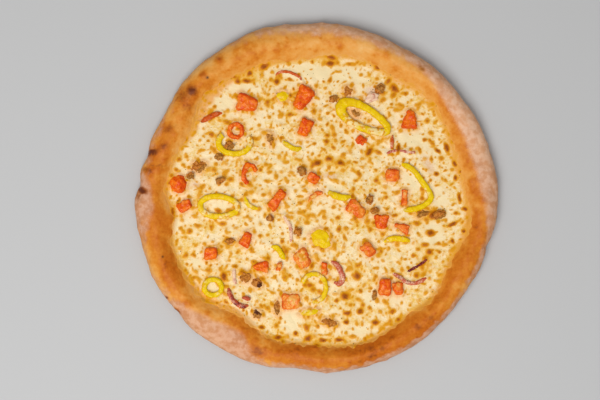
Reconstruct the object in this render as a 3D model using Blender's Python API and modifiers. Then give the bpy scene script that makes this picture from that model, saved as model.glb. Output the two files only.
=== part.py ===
# A whole baked pizza, about 12 inches across: a crust with a puffed rim, a melted cheese layer that fills it,
# and diced tomato, yellow pepper, red onion and browned crumbles on the cheese.
# Metres, +Z up, seen from above with +X to the right. The origin is under the pizza's middle, on the surface
# that it rests on.

import math
import random

import bmesh
import bpy
from mathutils import Matrix, Vector, noise
from mathutils.bvhtree import BVHTree

MM = 0.001

# Driving sizes.
HALF_WIDTH = 152 * MM
HALF_DEPTH = 146.5 * MM
RIM_WIDTH = 26 * MM
RIM_HEIGHT = 21 * MM
DOUGH_FLOOR = 5 * MM
CHEESE_HEIGHT = 10 * MM
CHEESE_EDGE = 11.8 * MM
TOPPING_SINK = 2.5 * MM
FIT_GAP = 0.3 * MM

# The rim's section: how far its crest and its foot lie from the outer edge, where it is widest,
# and how far its inner wall stands above the cheese.
CREST_INSET = 13.5 * MM
FOOT_INSET = 8 * MM
WIDEST_HEIGHT = 7 * MM
WALL_LIP = 0.5 * MM
NOMINAL_RADIUS = (HALF_WIDTH + HALF_DEPTH) / 2

# Relief: height and spacing of the swellings in the rim and of the blisters in the cheese.
RIM_SWELL = 1.3 * MM
RIM_SWELL_SPACING = 30 * MM
RIM_BUMP = 0.6 * MM
RIM_BUMP_SPACING = 12 * MM
CHEESE_SWELL = 0.9 * MM
CHEESE_SWELL_SPACING = 34 * MM
BLISTER_HEIGHT = 0.7 * MM
BLISTER_SPACING = 11 * MM

# How round things are: steps round the rim and over each flank, cells across the cheese, and for the strips
# of topping their sides, the length of a step and how far they are lifted, as shares of half their thickness.
RIM_STEPS = 104
FLANK_STEPS = 5
CHEESE_CELLS = 34
TUBE_SIDES = 1
TUBE_STEP = 2.3
TUBE_LIFT = 0.45
END_SHARE = 0.6
# How uneven a block's corners are and how soft its edges, as shares of its sides.
UNEVEN = 0.09
EDGE_SHARE = 0.14
# How far the straight steps of the crust's inner wall stand in from the true curve.
CHORD_SAG = NOMINAL_RADIUS * (1 - math.cos(math.pi / RIM_STEPS))

# Where the outline, the rim's width and its height depart from their plain values:
# direction in degrees, spread in degrees, and the change in millimetres.
OUTLINE_LOBES = (
    (38, 26, -2.6),
    (60, 8, -1.6),
    (110, 12, 2.2),
    (155, 14, -4.6),
    (181, 6, 1.8),
    (222, 26, 3.2),
    (263, 7, -2.6),
    (330, 16, -3.2),
)
WIDTH_LOBES = (
    (13, 14, 5.0),
    (45, 8, -3.0),
    (102, 18, 6.0),
    (136, 9, -4.0),
    (153, 6, 1.6),
    (186, 7, 7.0),
    (236, 9, 8.0),
    (262, 9, -3.0),
    (286, 15, -5.0),
    (320, 8, -4.5),
    (346, 8, -2.5),
)
HEIGHT_LOBES = (
    (20, 20, -2.0),
    (68, 16, 1.2),
    (105, 20, 1.0),
    (150, 14, -1.2),
    (200, 18, 1.8),
    (238, 14, -2.6),
    (290, 26, 1.6),
)
# Folds pressed into the rim's outer side, with the same three values.
CREASES = ((166, 3.5, 2.6), (176, 3.5, 2.8), (219, 4.0, 1.6), (344, 4.5, 1.4))

# Toppings, in millimetres and degrees.
# Tomato pieces: x, y, length, width, height above the cheese, turn, and how much narrower the far end is.
TOMATO_BLOCKS = (
    (-58.3, 79.2, 16.0, 15.0, 4.6, -14, 0.35),
    (-11.3, 83.9, 21.0, 17.0, 5.0, -122, 0.45),
    (-9.2, 58.9, 15.0, 10.0, 4.6, -118, 0.2),
    (77.7, 66.0, 15.5, 15.0, 4.8, 85, 0.55),
    (-2.9, 16.2, 9.5, 9.0, 3.6, -30, 0.2),
    (63.8, 19.4, 10.5, 10.5, 4.6, -3, 0.0),
    (-110.0, -6.3, 12.0, 9.0, 4.0, 30, 0.2),
    (-33.5, -2.0, 19.0, 8.0, 4.6, 54, 0.05),
    (-58.8, -34.9, 13.0, 9.5, 4.4, 68, 0.3),
    (33.4, -9.6, 17.0, 12.0, 4.2, -38, 0.3),
    (73.5, 0.3, 14.5, 5.6, 3.4, 88, 0.1),
    (54.4, -20.0, 12.0, 14.0, 4.2, -95, 0.5),
    (71.0, -24.7, 13.0, 10.0, 3.8, 155, 0.8),
    (43.5, -43.4, 12.5, 9.5, 4.2, -50, 0.15),
    (-89.0, -46.8, 11.5, 11.0, 4.6, 5, 0.1),
    (-46.6, -57.8, 13.0, 13.0, 4.4, 180, 0.8),
    (-11.8, -51.3, 15.5, 13.5, 3.6, -60, 0.1),
    (6.6, -59.1, 9.6, 5.2, 3.8, 90, 0.0),
    (-21.6, -86.3, 15.5, 14.0, 3.6, 5, 0.1),
    (57.2, -74.3, 13.5, 9.8, 4.8, 88, 0.1),
    (68.0, -75.8, 11.0, 9.6, 4.0, -80, 0.35),
)
# A halved cherry tomato, cut side down: x, y, length, width, height above the cheese, turn.
TOMATO_HALF = (-115.8, 11.6, 14.6, 17.0, 6.3, 0)
# A round slice: x, y, radius and half thickness of the ring.
TOMATO_SLICE = (-67.6, 56.3, 5.6, 2.2)
# Curved bands: the points of the middle line, half thickness.
TOMATO_BANDS = (
    (((-50.8, 22.5), (-52.5, 27), (-57.5, 28), (-61, 22), (-61.5, 16), (-57.5, 12)), 2.8),
    (((-6.5, -3), (-4.5, 1), (0, 3.6), (5.5, 4.4)), 2.4),
)

# Pepper rings: x, y, long and short radius, turn, first and last angle of the arc, half thickness,
# how much thicker the far side is, and how much wider the ring is there.
PEPPER_RINGS = (
    (39.9, 66.8, 22.0, 8.2, -28, 0, 360, 2.5, 0.5, 0.2),
    (-68.8, 46.2, 13.3, 9.2, 0, 137, 391, 2.0, 0.1, 0.0),
    (-81.6, -7.1, 15.8, 8.4, -3, 0, 360, 2.1, 0.0, 0.1),
    (-86.7, -74.8, 7.2, 6.5, 0, 0, 360, 1.8, 0.1, 0.0),
    (-2.5, -75.3, 10.3, 11.6, 0, -95, 160, 1.8, 0.0, 0.0),
)
# Pepper strips: the points of the middle line, half thickness.
PEPPER_STRIPS = (
    (((-29, 47.6), (-23.8, 43.9), (-17.7, 40.9), (-12.5, 42)), 1.8),
    (((-59.7, 1.2), (-58.8, -3.4), (-55.2, -7.1), (-48.8, -9.3)), 1.6),
    (((9.8, 5.3), (15.3, 2.1), (22.6, 0.3), (28.6, 1.2)), 2.4),
    (
        (
            (70.8, 28.5),
            (77.2, 25.8),
            (82.7, 21.2),
            (90.9, 10.2),
            (95.3, 2.9),
            (94.5, -2.5),
            (88.1, -7.1),
            (80.8, -9.4),
            (72.7, -10.4),
        ),
        2.0,
    ),
    (((56.3, -37), (63.6, -33.9), (71.7, -34.4), (78.1, -36.1)), 2.1),
    (((-38.3, -40.3), (-32.7, -42.1), (-29.5, -47.4), (-26.5, -51.8)), 1.9),
)
# Pieces of pepper end: x, y, length, width, height above the cheese, turn.
PEPPER_ENDS = (
    (-28.6, 85.2, 11.5, 10.5, 2.6, 10),
    (3.7, -34.4, 18.5, 16.5, 2.8, -35),
    (-6.3, -95.8, 17.5, 6.5, 2.4, 6),
)

# Onion slivers: the points of the middle line, half thickness.
ONION_SLIVERS = (
    (((63.7, -63.2), (69.3, -66.2), (74.9, -70.2), (81.3, -71.4), (86.9, -69.8), (91.8, -66.6)), 1.5),
    (((75.7, -61.8), (84.6, -57), (92.6, -51.3)), 1.1),
    (((12.4, -53.2), (17.3, -56.4), (20.3, -61.8), (21.8, -67.5), (19.3, -71.6), (14.4, -70.8)), 2.1),
    (((-73.7, -75.4), (-72.3, -81.5), (-68.2, -87.2), (-62.4, -90.5), (-57, -90)), 1.8),
    (((-69, -58.5), (-69.3, -64), (-68.8, -69), (-67.6, -73)), 1.4),
    (((-27.9, -14.3), (-25.1, -18.9), (-21.7, -25.2), (-21.3, -37)), 1.3),
    (((-97, 63.5), (-91, 66.8), (-85, 69.8), (-79.5, 71.2)), 2.0),
    (((-34.3, 102.4), (-30.5, 105.4), (-23.8, 105.4), (-18.5, 103.6), (-14, 101), (-12.9, 97.9)), 1.1),
    (((58.4, 36.7), (62.4, 38.7), (68.9, 40), (75.3, 38.6), (83.3, 38)), 1.1),
)

# Browned crumbles as large as a berry: x, y, length, width, height above the cheese, turn.
CRUMBLES = (
    (-98.7, 26.5, 13.5, 10.0, 3.8, 10),
    (88.8, -13.3, 12.5, 6.4, 3.2, 10),
    (10.6, -104.4, 14.0, 6.4, 3.2, -14),
    (-33.4, -92.3, 12.5, 6.0, 3.2, 84),
    (-60.0, -66.6, 9.5, 9.0, 3.8, 30),
    (-49.6, -70.8, 10.2, 7.6, 3.8, -20),
    (26.3, 89.4, 9.0, 8.0, 3.6, 0),
    (-50.0, -97.5, 9.0, 7.6, 3.4, 15),
    (-38.6, 50.2, 11.0, 6.4, 3.4, -72),
    (32.4, 71.0, 8.0, 5.6, 3.2, -30),
)
# Smaller pieces, which are one with the cheese that they are baked into.
SMALL_PIECES = (
    (14.2, 82.6, 6.8, 5.0, 2.2, 20),
    (52.7, 91.0, 8.0, 7.0, 2.6, 40),
    (44.4, -1.6, 7.8, 6.2, 2.8, 70),
    (49.0, -10.6, 7.5, 4.8, 2.4, 10),
    (-12.6, 22.8, 7.2, 6.6, 2.8, -40),
    (102.7, -13.8, 10.5, 6.2, 2.2, 15),
    (-73.2, 43.4, 8.0, 5.6, 2.0, 0),
    (-105.4, 18.8, 6.0, 5.2, 2.4, -20),
    (-81.6, 33.9, 6.6, 5.4, 2.4, 0),
    (-81.1, 14.4, 7.6, 5.6, 2.4, 15),
    (-39.2, -17.1, 6.0, 4.6, 2.2, 10),
    (-15.4, -28.2, 6.8, 6.0, 2.6, -50),
    (63.1, 47.0, 11.0, 2.8, 1.8, 88),
    (37.1, 48.4, 8.2, 7.0, 2.8, -10),
    (-31.2, -57.4, 7.2, 4.6, 2.8, 70),
    (46.0, 83.8, 11.0, 7.6, 1.8, 30),
    (48.4, -81.0, 8.0, 3.4, 1.8, 84),
    (-58.4, -84.0, 7.0, 3.6, 2.2, -15),
    (-72.5, -36.1, 7.6, 4.4, 1.8, 12),
)

COLOURS = {
    "crust": ((0.58, 0.27, 0.085, 1), 0.75),
    "cheese": ((0.83, 0.66, 0.33, 1), 0.45),
    "tomato": ((0.76, 0.13, 0.03, 1), 0.35),
    "pepper": ((0.83, 0.60, 0.02, 1), 0.35),
    "onion": ((0.45, 0.17, 0.16, 1), 0.45),
    "crumble": ((0.20, 0.09, 0.03, 1), 0.7),
}


def clear_scene():
    for obj in list(bpy.data.objects):
        bpy.data.objects.remove(obj, do_unlink=True)


def new_collection(name):
    collection = bpy.data.collections.new(name)
    bpy.context.scene.collection.children.link(collection)
    return collection


def new_material(name):
    colour, roughness = COLOURS[name]
    material = bpy.data.materials.new(name)
    material.use_nodes = True
    shader = material.node_tree.nodes["Principled BSDF"]
    shader.inputs["Base Color"].default_value = colour
    shader.inputs["Roughness"].default_value = roughness
    shader.inputs["Metallic"].default_value = 0
    return material


def add_object(name, mesh, collection, material):
    obj = bpy.data.objects.new(name, mesh)
    collection.objects.link(obj)
    mesh.materials.clear()
    mesh.materials.append(material)
    return obj


def take_primitive(name, collection, material):
    # Moves the primitive that was just added into the collection, under its own name.
    obj = bpy.context.active_object
    for holder in list(obj.users_collection):
        holder.objects.unlink(obj)
    collection.objects.link(obj)
    obj.name = name
    obj.data.materials.append(material)
    return obj


def baked_mesh(obj):
    # The object's evaluated mesh on its own; the object is removed.
    graph = bpy.context.evaluated_depsgraph_get()
    mesh = bpy.data.meshes.new_from_object(obj.evaluated_get(graph))
    mesh.transform(obj.matrix_world)
    name = obj.name
    bpy.data.objects.remove(obj, do_unlink=True)
    mesh.name = name
    return mesh


def lobes(angle, table):
    # Sum of the table's bell-shaped changes in this direction, in metres.
    total = 0.0
    for centre, spread, change in table:
        away = (math.degrees(angle) - centre + 180) % 360 - 180
        total += change * MM * math.exp(-((away / spread) ** 2))
    return total


def outline_radius(angle):
    across = math.hypot(HALF_DEPTH * math.cos(angle), HALF_WIDTH * math.sin(angle))
    return HALF_WIDTH * HALF_DEPTH / across + lobes(angle, OUTLINE_LOBES)


def cheese_radius(angle):
    return outline_radius(angle) - RIM_WIDTH - lobes(angle, WIDTH_LOBES)


def relief(point, spacing, height):
    return height * noise.noise(point / spacing)


def rim_section():
    # The crust's section from the axis out along the dough floor, over the rim and back under it.
    wall = NOMINAL_RADIUS - RIM_WIDTH
    crest = NOMINAL_RADIUS - CREST_INSET
    wall_top = CHEESE_EDGE + WALL_LIP
    points = [(0, DOUGH_FLOOR), (wall, DOUGH_FLOOR), (wall, wall_top)]
    for i in range(1, FLANK_STEPS + 1):
        share = i / FLANK_STEPS
        up = math.sin(share * math.pi / 2)
        points.append((wall + (crest - wall) * share, wall_top + (RIM_HEIGHT - wall_top) * up))
    for i in range(1, FLANK_STEPS + 1):
        turn = i / FLANK_STEPS * math.pi / 2
        up = WIDEST_HEIGHT + (RIM_HEIGHT - WIDEST_HEIGHT) * math.cos(turn)
        points.append((crest + CREST_INSET * math.sin(turn), up))
    for i in range(1, FLANK_STEPS - 1):
        turn = i / (FLANK_STEPS - 2) * math.pi / 2
        in_by = FOOT_INSET * (1 - math.cos(turn))
        points.append((NOMINAL_RADIUS - in_by, WIDEST_HEIGHT * (1 - math.sin(turn))))
    points.append((0, 0))
    return points


def turned_blank(name, section, collection):
    mesh = bpy.data.meshes.new(name)
    mesh.from_pydata([(r, 0, z) for r, z in section], [(i, i + 1) for i in range(len(section) - 1)], [])
    obj = bpy.data.objects.new(name, mesh)
    collection.objects.link(obj)
    screw = obj.modifiers.new("turn", "SCREW")
    screw.axis = "Z"
    screw.steps = RIM_STEPS
    screw.render_steps = RIM_STEPS
    screw.use_merge_vertices = True
    screw.merge_threshold = 0.0001
    screw.use_normal_calculate = True
    bpy.context.view_layer.update()
    return baked_mesh(obj)


def shaped_rim_point(point):
    # Moves a point of the round blank to the real outline, with the rim's swellings and folds.
    radius = math.hypot(point.x, point.y)
    if radius < MM:
        return point
    angle = math.atan2(point.y, point.x)
    inward = NOMINAL_RADIUS - radius
    outer = outline_radius(angle)
    wall = cheese_radius(angle)
    if inward > RIM_WIDTH + FIT_GAP:
        new_radius = radius * wall / (NOMINAL_RADIUS - RIM_WIDTH)
    else:
        new_radius = outer - inward / RIM_WIDTH * (outer - wall)
    share = min(1.0, max(0.0, inward / RIM_WIDTH))
    on_top = math.sin(math.pi * share) * point.z / RIM_HEIGHT
    on_side = (1 - share) ** 2 * min(1.0, point.z / WIDEST_HEIGHT)
    along = Vector((outer * math.cos(angle), outer * math.sin(angle), 0))
    swell = relief(along, RIM_SWELL_SPACING, RIM_SWELL) + relief(point, RIM_BUMP_SPACING, RIM_BUMP)
    fold = lobes(angle, CREASES)
    new_radius += on_side * (swell - fold)
    height = point.z + on_top * (lobes(angle, HEIGHT_LOBES) + swell - fold / 2)
    return Vector((new_radius * math.cos(angle), new_radius * math.sin(angle), height))


def make_crust(collection, material):
    # Returns the crust and where its axis ends up once the outline's box is centred on the origin.
    mesh = turned_blank("crust", rim_section(), collection)
    for vertex in mesh.vertices:
        vertex.co = shaped_rim_point(vertex.co.copy())
    xs = [vertex.co.x for vertex in mesh.vertices]
    ys = [vertex.co.y for vertex in mesh.vertices]
    middle = Vector((-(max(xs) + min(xs)) / 2, -(max(ys) + min(ys)) / 2, 0))
    mesh.transform(Matrix.Translation(middle))
    return add_object("crust", mesh, collection, material), middle


def disc_place(a, b):
    # The square from -1 to 1 laid on a disc with even steps round its edge: share of radius, and direction.
    if abs(a) < 1e-9 and abs(b) < 1e-9:
        return 0.0, 0.0
    if abs(a) >= abs(b):
        angle = math.pi / 4 * b / a + (math.pi if a < 0 else 0)
    else:
        angle = math.pi / 2 - math.pi / 4 * a / b + (math.pi if b < 0 else 0)
    return max(abs(a), abs(b)), angle


def cheese_point(share, angle):
    radius = share * (cheese_radius(angle) - FIT_GAP - CHORD_SAG)
    place = Vector((radius * math.cos(angle), radius * math.sin(angle), 0))
    inner = 1 - share**8
    swell = relief(place, CHEESE_SWELL_SPACING, CHEESE_SWELL)
    blister = abs(relief(place + Vector((0, 0, BLISTER_SPACING)), BLISTER_SPACING, BLISTER_HEIGHT * 2))
    rise = (CHEESE_EDGE - CHEESE_HEIGHT) * share**4
    place.z = CHEESE_HEIGHT + rise + inner * (swell + blister - BLISTER_HEIGHT / 2)
    return place


def make_cheese(middle, collection, material):
    bpy.ops.mesh.primitive_grid_add(x_subdivisions=CHEESE_CELLS, y_subdivisions=CHEESE_CELLS, size=2)
    obj = take_primitive("cheese", collection, material)
    shape = bmesh.new()
    shape.from_mesh(obj.data)
    for vertex in shape.verts:
        vertex.co = cheese_point(*disc_place(vertex.co.x, vertex.co.y)) + middle
    rim = [edge for edge in shape.edges if edge.is_boundary]
    skirt = bmesh.ops.extrude_edge_only(shape, edges=rim)["geom"]
    for vertex in (item for item in skirt if isinstance(item, bmesh.types.BMVert)):
        vertex.co.z = DOUGH_FLOOR + FIT_GAP
    bmesh.ops.edgeloop_fill(shape, edges=[edge for edge in shape.edges if edge.is_boundary])
    bmesh.ops.recalc_face_normals(shape, faces=shape.faces)
    # Triangles here keep its trimming copy exactly parallel to it.
    bmesh.ops.triangulate(shape, faces=shape.faces)
    shape.to_mesh(obj.data)
    shape.free()
    return obj


class Cheese:
    # The bare cheese surface: toppings rest on it, and a raised copy of it trims them underneath.
    def __init__(self, obj, cutters):
        self.tree = BVHTree.FromObject(obj, bpy.context.evaluated_depsgraph_get())
        self.cutter = obj.copy()
        self.cutter.data = obj.data.copy()
        self.cutter.name = "cheese_cutter"
        self.cutter.location.z = FIT_GAP
        self.cutter.hide_render = True
        self.cutter.display_type = "WIRE"
        cutters.objects.link(self.cutter)

    def height(self, x, y):
        hit = self.tree.ray_cast(Vector((x, y, RIM_HEIGHT * 2)), Vector((0, 0, -1)))[0]
        return hit.z if hit else CHEESE_EDGE

    def trim(self, obj):
        cut = obj.modifiers.new("rest_on_cheese", "BOOLEAN")
        cut.operation = "DIFFERENCE"
        cut.object = self.cutter
        return obj


def make_block(name, sizes, cheese, collection, material):
    # A cut block with uneven corners and one narrower end, sunk a little way into the cheese.
    x, y, length, width, rise = (value * MM for value in sizes[:5])
    turn, pinch = sizes[5:]
    chance = random.Random(name)
    bpy.ops.mesh.primitive_cube_add(size=1)
    obj = take_primitive(name, collection, material)
    depth = rise + TOPPING_SINK
    for vertex in obj.data.vertices:
        far = vertex.co.x > 0
        place = vertex.co + Vector([chance.uniform(-UNEVEN, UNEVEN) for _ in range(3)])
        narrow = 1 - pinch if far else 1
        vertex.co = Vector((place.x * length, place.y * width * narrow, place.z * depth))
    obj.data.transform(Matrix.Rotation(math.radians(turn), 4, "Z"))
    obj.location = (x, y, cheese.height(x, y) + rise - depth / 2)
    bevel = obj.modifiers.new("soft_edges", "BEVEL")
    bevel.width = EDGE_SHARE * min(length, width) * (1 - pinch / 2)
    bevel.segments = 1
    return cheese.trim(obj)


def lump_mesh(name, sizes, roughness, detail):
    # An uneven rounded lump about the origin.
    length, width, rise = (value * MM for value in sizes[2:5])
    bpy.ops.mesh.primitive_ico_sphere_add(subdivisions=detail, radius=0.5)
    obj = bpy.context.active_object
    seed = Vector((random.Random(name).uniform(0, 90), 0, 0))
    for vertex in obj.data.vertices:
        grow = 1 + roughness * noise.noise(vertex.co * 3 + seed)
        reach = 2 * (rise if vertex.co.z > 0 else TOPPING_SINK)
        vertex.co = Vector((vertex.co.x * length, vertex.co.y * width, vertex.co.z * reach)) * grow
    obj.data.transform(Matrix.Rotation(math.radians(sizes[5]), 4, "Z"))
    return baked_mesh(obj)


def make_lump(name, sizes, roughness, cheese, collection, material, detail=2):
    mesh = lump_mesh(name, sizes, roughness, detail)
    obj = add_object(name, mesh, collection, material)
    x, y = sizes[0] * MM, sizes[1] * MM
    obj.location = (x, y, cheese.height(x, y))
    return cheese.trim(obj)


def smooth_line(points, spacing):
    # Points about one spacing apart on a smooth curve through the given ones.
    points = [Vector(point) for point in points]
    ends = [2 * points[0] - points[1], *points, 2 * points[-1] - points[-2]]
    line = []
    for before, start, end, after in zip(ends, ends[1:], ends[2:], ends[3:]):
        steps = max(1, round((end - start).length / spacing))
        for i in range(steps):
            t = i / steps
            slope = (end - before) * t
            bend = (2 * before - 5 * start + 4 * end - after) * t**2
            twist = (3 * start - before - 3 * end + after) * t**3
            line.append((2 * start + slope + bend + twist) / 2)
    return [*line, points[-1]]


def ring_line(sizes):
    # The middle line of a ring or of an arc of one, with how thick it is at each point.
    x, y, long_radius, short_radius, turn, first, last, half, thicker, wider = sizes
    length = math.radians(last - first) * (long_radius + short_radius) / 2
    steps = max(10, round(length / (TUBE_STEP * half)))
    count = steps if last - first == 360 else steps + 1
    line, thickness = [], []
    for i in range(count):
        angle = math.radians(first + (last - first) * i / steps)
        far = -math.cos(angle)
        arm = Vector((long_radius * math.cos(angle), short_radius * (1 + wider * far) * math.sin(angle)))
        arm.rotate(Matrix.Rotation(math.radians(turn), 2))
        line.append(Vector((x, y)) + arm)
        thickness.append(1 + thicker * max(0.0, far) ** 2)
    return line, thickness


def make_tube(name, line, thickness, half, closed, cheese, collection, material):
    # A strip of round section laid along the cheese.
    half = half * MM
    curve = bpy.data.curves.new(name, "CURVE")
    curve.dimensions = "3D"
    curve.bevel_depth = half
    curve.bevel_resolution = TUBE_SIDES
    curve.use_fill_caps = not closed
    spline = curve.splines.new("POLY")
    spline.points.add(len(line) - 1)
    spline.use_cyclic_u = closed
    for point, place, thick in zip(spline.points, line, thickness):
        x, y = place * MM
        point.co = (x, y, cheese.height(x, y) + FIT_GAP + TUBE_LIFT * half, 1)
        point.radius = thick
    guide = bpy.data.objects.new(name, curve)
    collection.objects.link(guide)
    bpy.context.view_layer.update()
    mesh = baked_mesh(guide)
    shape = bmesh.new()
    shape.from_mesh(mesh)
    bmesh.ops.remove_doubles(shape, verts=shape.verts, dist=FIT_GAP / 10)
    bmesh.ops.recalc_face_normals(shape, faces=shape.faces)
    shape.to_mesh(mesh)
    shape.free()
    return cheese.trim(add_object(name, mesh, collection, material))


def make_ring(name, sizes, cheese, collection, material):
    line, thickness = ring_line(sizes)
    closed = sizes[6] - sizes[5] == 360
    return make_tube(name, line, thickness, sizes[7], closed, cheese, collection, material)


def make_strip(name, points, half, cheese, collection, material):
    # An open strip whose ends are drawn in.
    line = smooth_line(points, TUBE_STEP * half)
    last = len(line) - 1
    thickness = [min(1.0, END_SHARE + (1 - END_SHARE) * min(i, last - i) / 2) for i in range(last + 1)]
    return make_tube(name, line, thickness, half, False, cheese, collection, material)


def make_tomatoes(cheese, collection, material):
    for i, sizes in enumerate(TOMATO_BLOCKS, 1):
        make_block(f"tomato_{i:02d}", sizes, cheese, collection, material)
    make_lump("tomato_half", TOMATO_HALF, 0.1, cheese, collection, material)
    x, y, radius, half = TOMATO_SLICE
    ring = (x, y, radius, radius, 0, 0, 360, half, 0.1, 0)
    make_ring("tomato_slice", ring, cheese, collection, material)
    for i, (points, half) in enumerate(TOMATO_BANDS, 1):
        make_strip(f"tomato_band_{i}", points, half, cheese, collection, material)


def make_peppers(cheese, collection, material):
    for i, sizes in enumerate(PEPPER_RINGS, 1):
        make_ring(f"pepper_ring_{i}", sizes, cheese, collection, material)
    for i, (points, half) in enumerate(PEPPER_STRIPS, 1):
        make_strip(f"pepper_strip_{i}", points, half, cheese, collection, material)
    for i, sizes in enumerate(PEPPER_ENDS, 1):
        make_lump(f"pepper_end_{i}", sizes, 0.3, cheese, collection, material)


def make_onions(cheese, collection, material):
    for i, (points, half) in enumerate(ONION_SLIVERS, 1):
        make_strip(f"onion_{i}", points, half, cheese, collection, material)


def make_crumbles(cheese, collection, material):
    for i, sizes in enumerate(CRUMBLES, 1):
        make_lump(f"crumble_{i:02d}", sizes, 0.55, cheese, collection, material)


def bake_in_small_pieces(cheese_obj, cheese, material):
    # One union joins the small pieces to the cheese that they are baked into.
    pieces = new_collection("small_pieces")
    for i, sizes in enumerate(SMALL_PIECES, 1):
        name = f"small_piece_{i}"
        piece = add_object(name, lump_mesh(name, sizes, 0.4, 1), pieces, material)
        x, y = sizes[0] * MM, sizes[1] * MM
        piece.location = (x, y, cheese.height(x, y))
    union = cheese_obj.modifiers.new("small_pieces", "BOOLEAN")
    union.operation = "UNION"
    union.operand_type = "COLLECTION"
    union.collection = pieces
    bpy.context.view_layer.update()
    graph = bpy.context.evaluated_depsgraph_get()
    joined = bpy.data.meshes.new_from_object(cheese_obj.evaluated_get(graph))
    cheese_obj.modifiers.clear()
    cheese_obj.data = joined
    for piece in list(pieces.objects):
        bpy.data.objects.remove(piece, do_unlink=True)
    bpy.data.collections.remove(pieces)


def main():
    clear_scene()
    pizza = new_collection("pizza")
    cutters = new_collection("cutters")
    materials = {name: new_material(name) for name in COLOURS}
    _, middle = make_crust(pizza, materials["crust"])
    cheese_obj = make_cheese(middle, pizza, materials["cheese"])
    bpy.context.view_layer.update()
    cheese = Cheese(cheese_obj, cutters)
    make_tomatoes(cheese, pizza, materials["tomato"])
    make_peppers(cheese, pizza, materials["pepper"])
    make_onions(cheese, pizza, materials["onion"])
    make_crumbles(cheese, pizza, materials["crumble"])
    bake_in_small_pieces(cheese_obj, cheese, materials["crumble"])


main()
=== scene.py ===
import math
import random

import bmesh
import bpy
import numpy as np
from mathutils import Matrix, Vector, noise
from mathutils.bvhtree import BVHTree
from mathutils.kdtree import KDTree


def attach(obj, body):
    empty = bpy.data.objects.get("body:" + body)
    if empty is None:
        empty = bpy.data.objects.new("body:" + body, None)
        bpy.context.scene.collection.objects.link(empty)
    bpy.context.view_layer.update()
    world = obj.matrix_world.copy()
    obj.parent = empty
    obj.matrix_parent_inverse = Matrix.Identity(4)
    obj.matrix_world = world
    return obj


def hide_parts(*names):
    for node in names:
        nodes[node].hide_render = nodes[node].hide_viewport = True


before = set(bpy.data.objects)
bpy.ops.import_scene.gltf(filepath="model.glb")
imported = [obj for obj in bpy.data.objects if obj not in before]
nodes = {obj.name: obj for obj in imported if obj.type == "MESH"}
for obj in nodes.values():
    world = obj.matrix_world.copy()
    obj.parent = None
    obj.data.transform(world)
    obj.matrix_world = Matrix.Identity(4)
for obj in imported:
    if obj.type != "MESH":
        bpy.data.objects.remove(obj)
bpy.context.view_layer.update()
scene = bpy.context.scene
print("pizza: CAD loaded,", len(nodes), "nodes")

mm = 0.001
pixel = 0.84  # mm of pizza to one pixel of the 600 x 400 picture
pictureMiddle = (316.5, 198)  # where the pizza's middle is in the picture

# The same driving sizes as the CAD, in mm and degrees. The tables hold direction, spread and change.
rim = {
    "halfWidth": 152, "halfDepth": 146.5, "width": 26, "height": 21, "floor": 5, "crestInset": 13.5,
    "footInset": 8, "widest": 7, "lip": 0.5, "swell": 1.3, "swellSpacing": 30, "bump": 0.6,
    "bumpSpacing": 12, "steps": 104,
    "outline": (
        (38, 26, -2.6), (60, 8, -1.6), (110, 12, 2.2), (155, 14, -4.6), (181, 6, 1.8), (222, 26, 3.2),
        (263, 7, -2.6), (330, 16, -3.2)),
    "wall": (
        (13, 14, 5.0), (45, 8, -3.0), (102, 18, 6.0), (136, 9, -4.0), (153, 6, 1.6), (186, 7, 7.0),
        (236, 9, 8.0), (262, 9, -3.0), (286, 15, -5.0), (320, 8, -4.5), (346, 8, -2.5)),
    "heights": (
        (20, 20, -2.0), (68, 16, 1.2), (105, 20, 1.0), (150, 14, -1.2), (200, 18, 1.8), (238, 14, -2.6),
        (290, 26, 1.6)),
    "creases": ((166, 3.5, 2.6), (176, 3.5, 2.8), (219, 4.0, 1.6), (344, 4.5, 1.4)),
}
melt = {"height": 10, "edge": 11.8, "swell": 0.9, "swellSpacing": 34, "blister": 0.7, "blisterSpacing": 11}
nominal = (rim["halfWidth"] + rim["halfDepth"]) / 2


def onPizza(across, down):  # a place in the picture, in mm from the pizza's middle
    return (across - pictureMiddle[0]) * pixel, (pictureMiddle[1] - down) * pixel


def tone(red, green, blue):  # a screen colour from 0 to 255, as a shader takes it
    return tuple(((c / 255 + 0.055) / 1.055) ** 2.4 for c in (red, green, blue)) + (1.0,)


def ramped(low, high, value):
    share = np.clip((value - low) / (high - low), 0, 1)
    return share * share * (3 - 2 * share)


def hump(value, middle, spread):
    return np.exp(-(((value - middle) / spread) ** 2))


def lobes(degrees, table):
    total = np.zeros_like(degrees)
    for centre, spread, change in table:
        total += change * hump((degrees - centre + 180) % 360 - 180, 0, spread)
    return total


def fade(places, across, down, size):  # how near each point lies to a place in the picture
    x, y = onPizza(across, down)
    return hump(np.hypot(places[:, 0] - x, places[:, 1] - y), 0, size)


def ovalAway(x, y, across, down, long, wide, turn=0):  # squared, and 1 at the oval's edge
    cx, cy = onPizza(across, down)
    cos, sin = math.cos(math.radians(turn)), math.sin(math.radians(turn))
    return (((x - cx) * cos + (y - cy) * sin) / long) ** 2 + (((y - cy) * cos - (x - cx) * sin) / wide) ** 2


def noiseOver(points, spacing, shift=0.0):
    return np.array([noise.noise(p) for p in (points / spacing + shift).tolist()])


def cloudOver(points, spacing, shift=0.0, octaves=4):
    return np.array([noise.fractal(p, 1.0, 2.0, octaves) for p in (points / spacing + shift).tolist()])


def outlineRadius(degrees):
    turn = np.radians(degrees)
    across = np.hypot(rim["halfDepth"] * np.cos(turn), rim["halfWidth"] * np.sin(turn))
    return rim["halfWidth"] * rim["halfDepth"] / across + lobes(degrees, rim["outline"])


def wallRadius(degrees):
    return outlineRadius(degrees) - rim["width"] - lobes(degrees, rim["wall"])


def polar(radius, turn, level):
    return np.column_stack((radius * np.cos(turn), radius * np.sin(turn), level))


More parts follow.
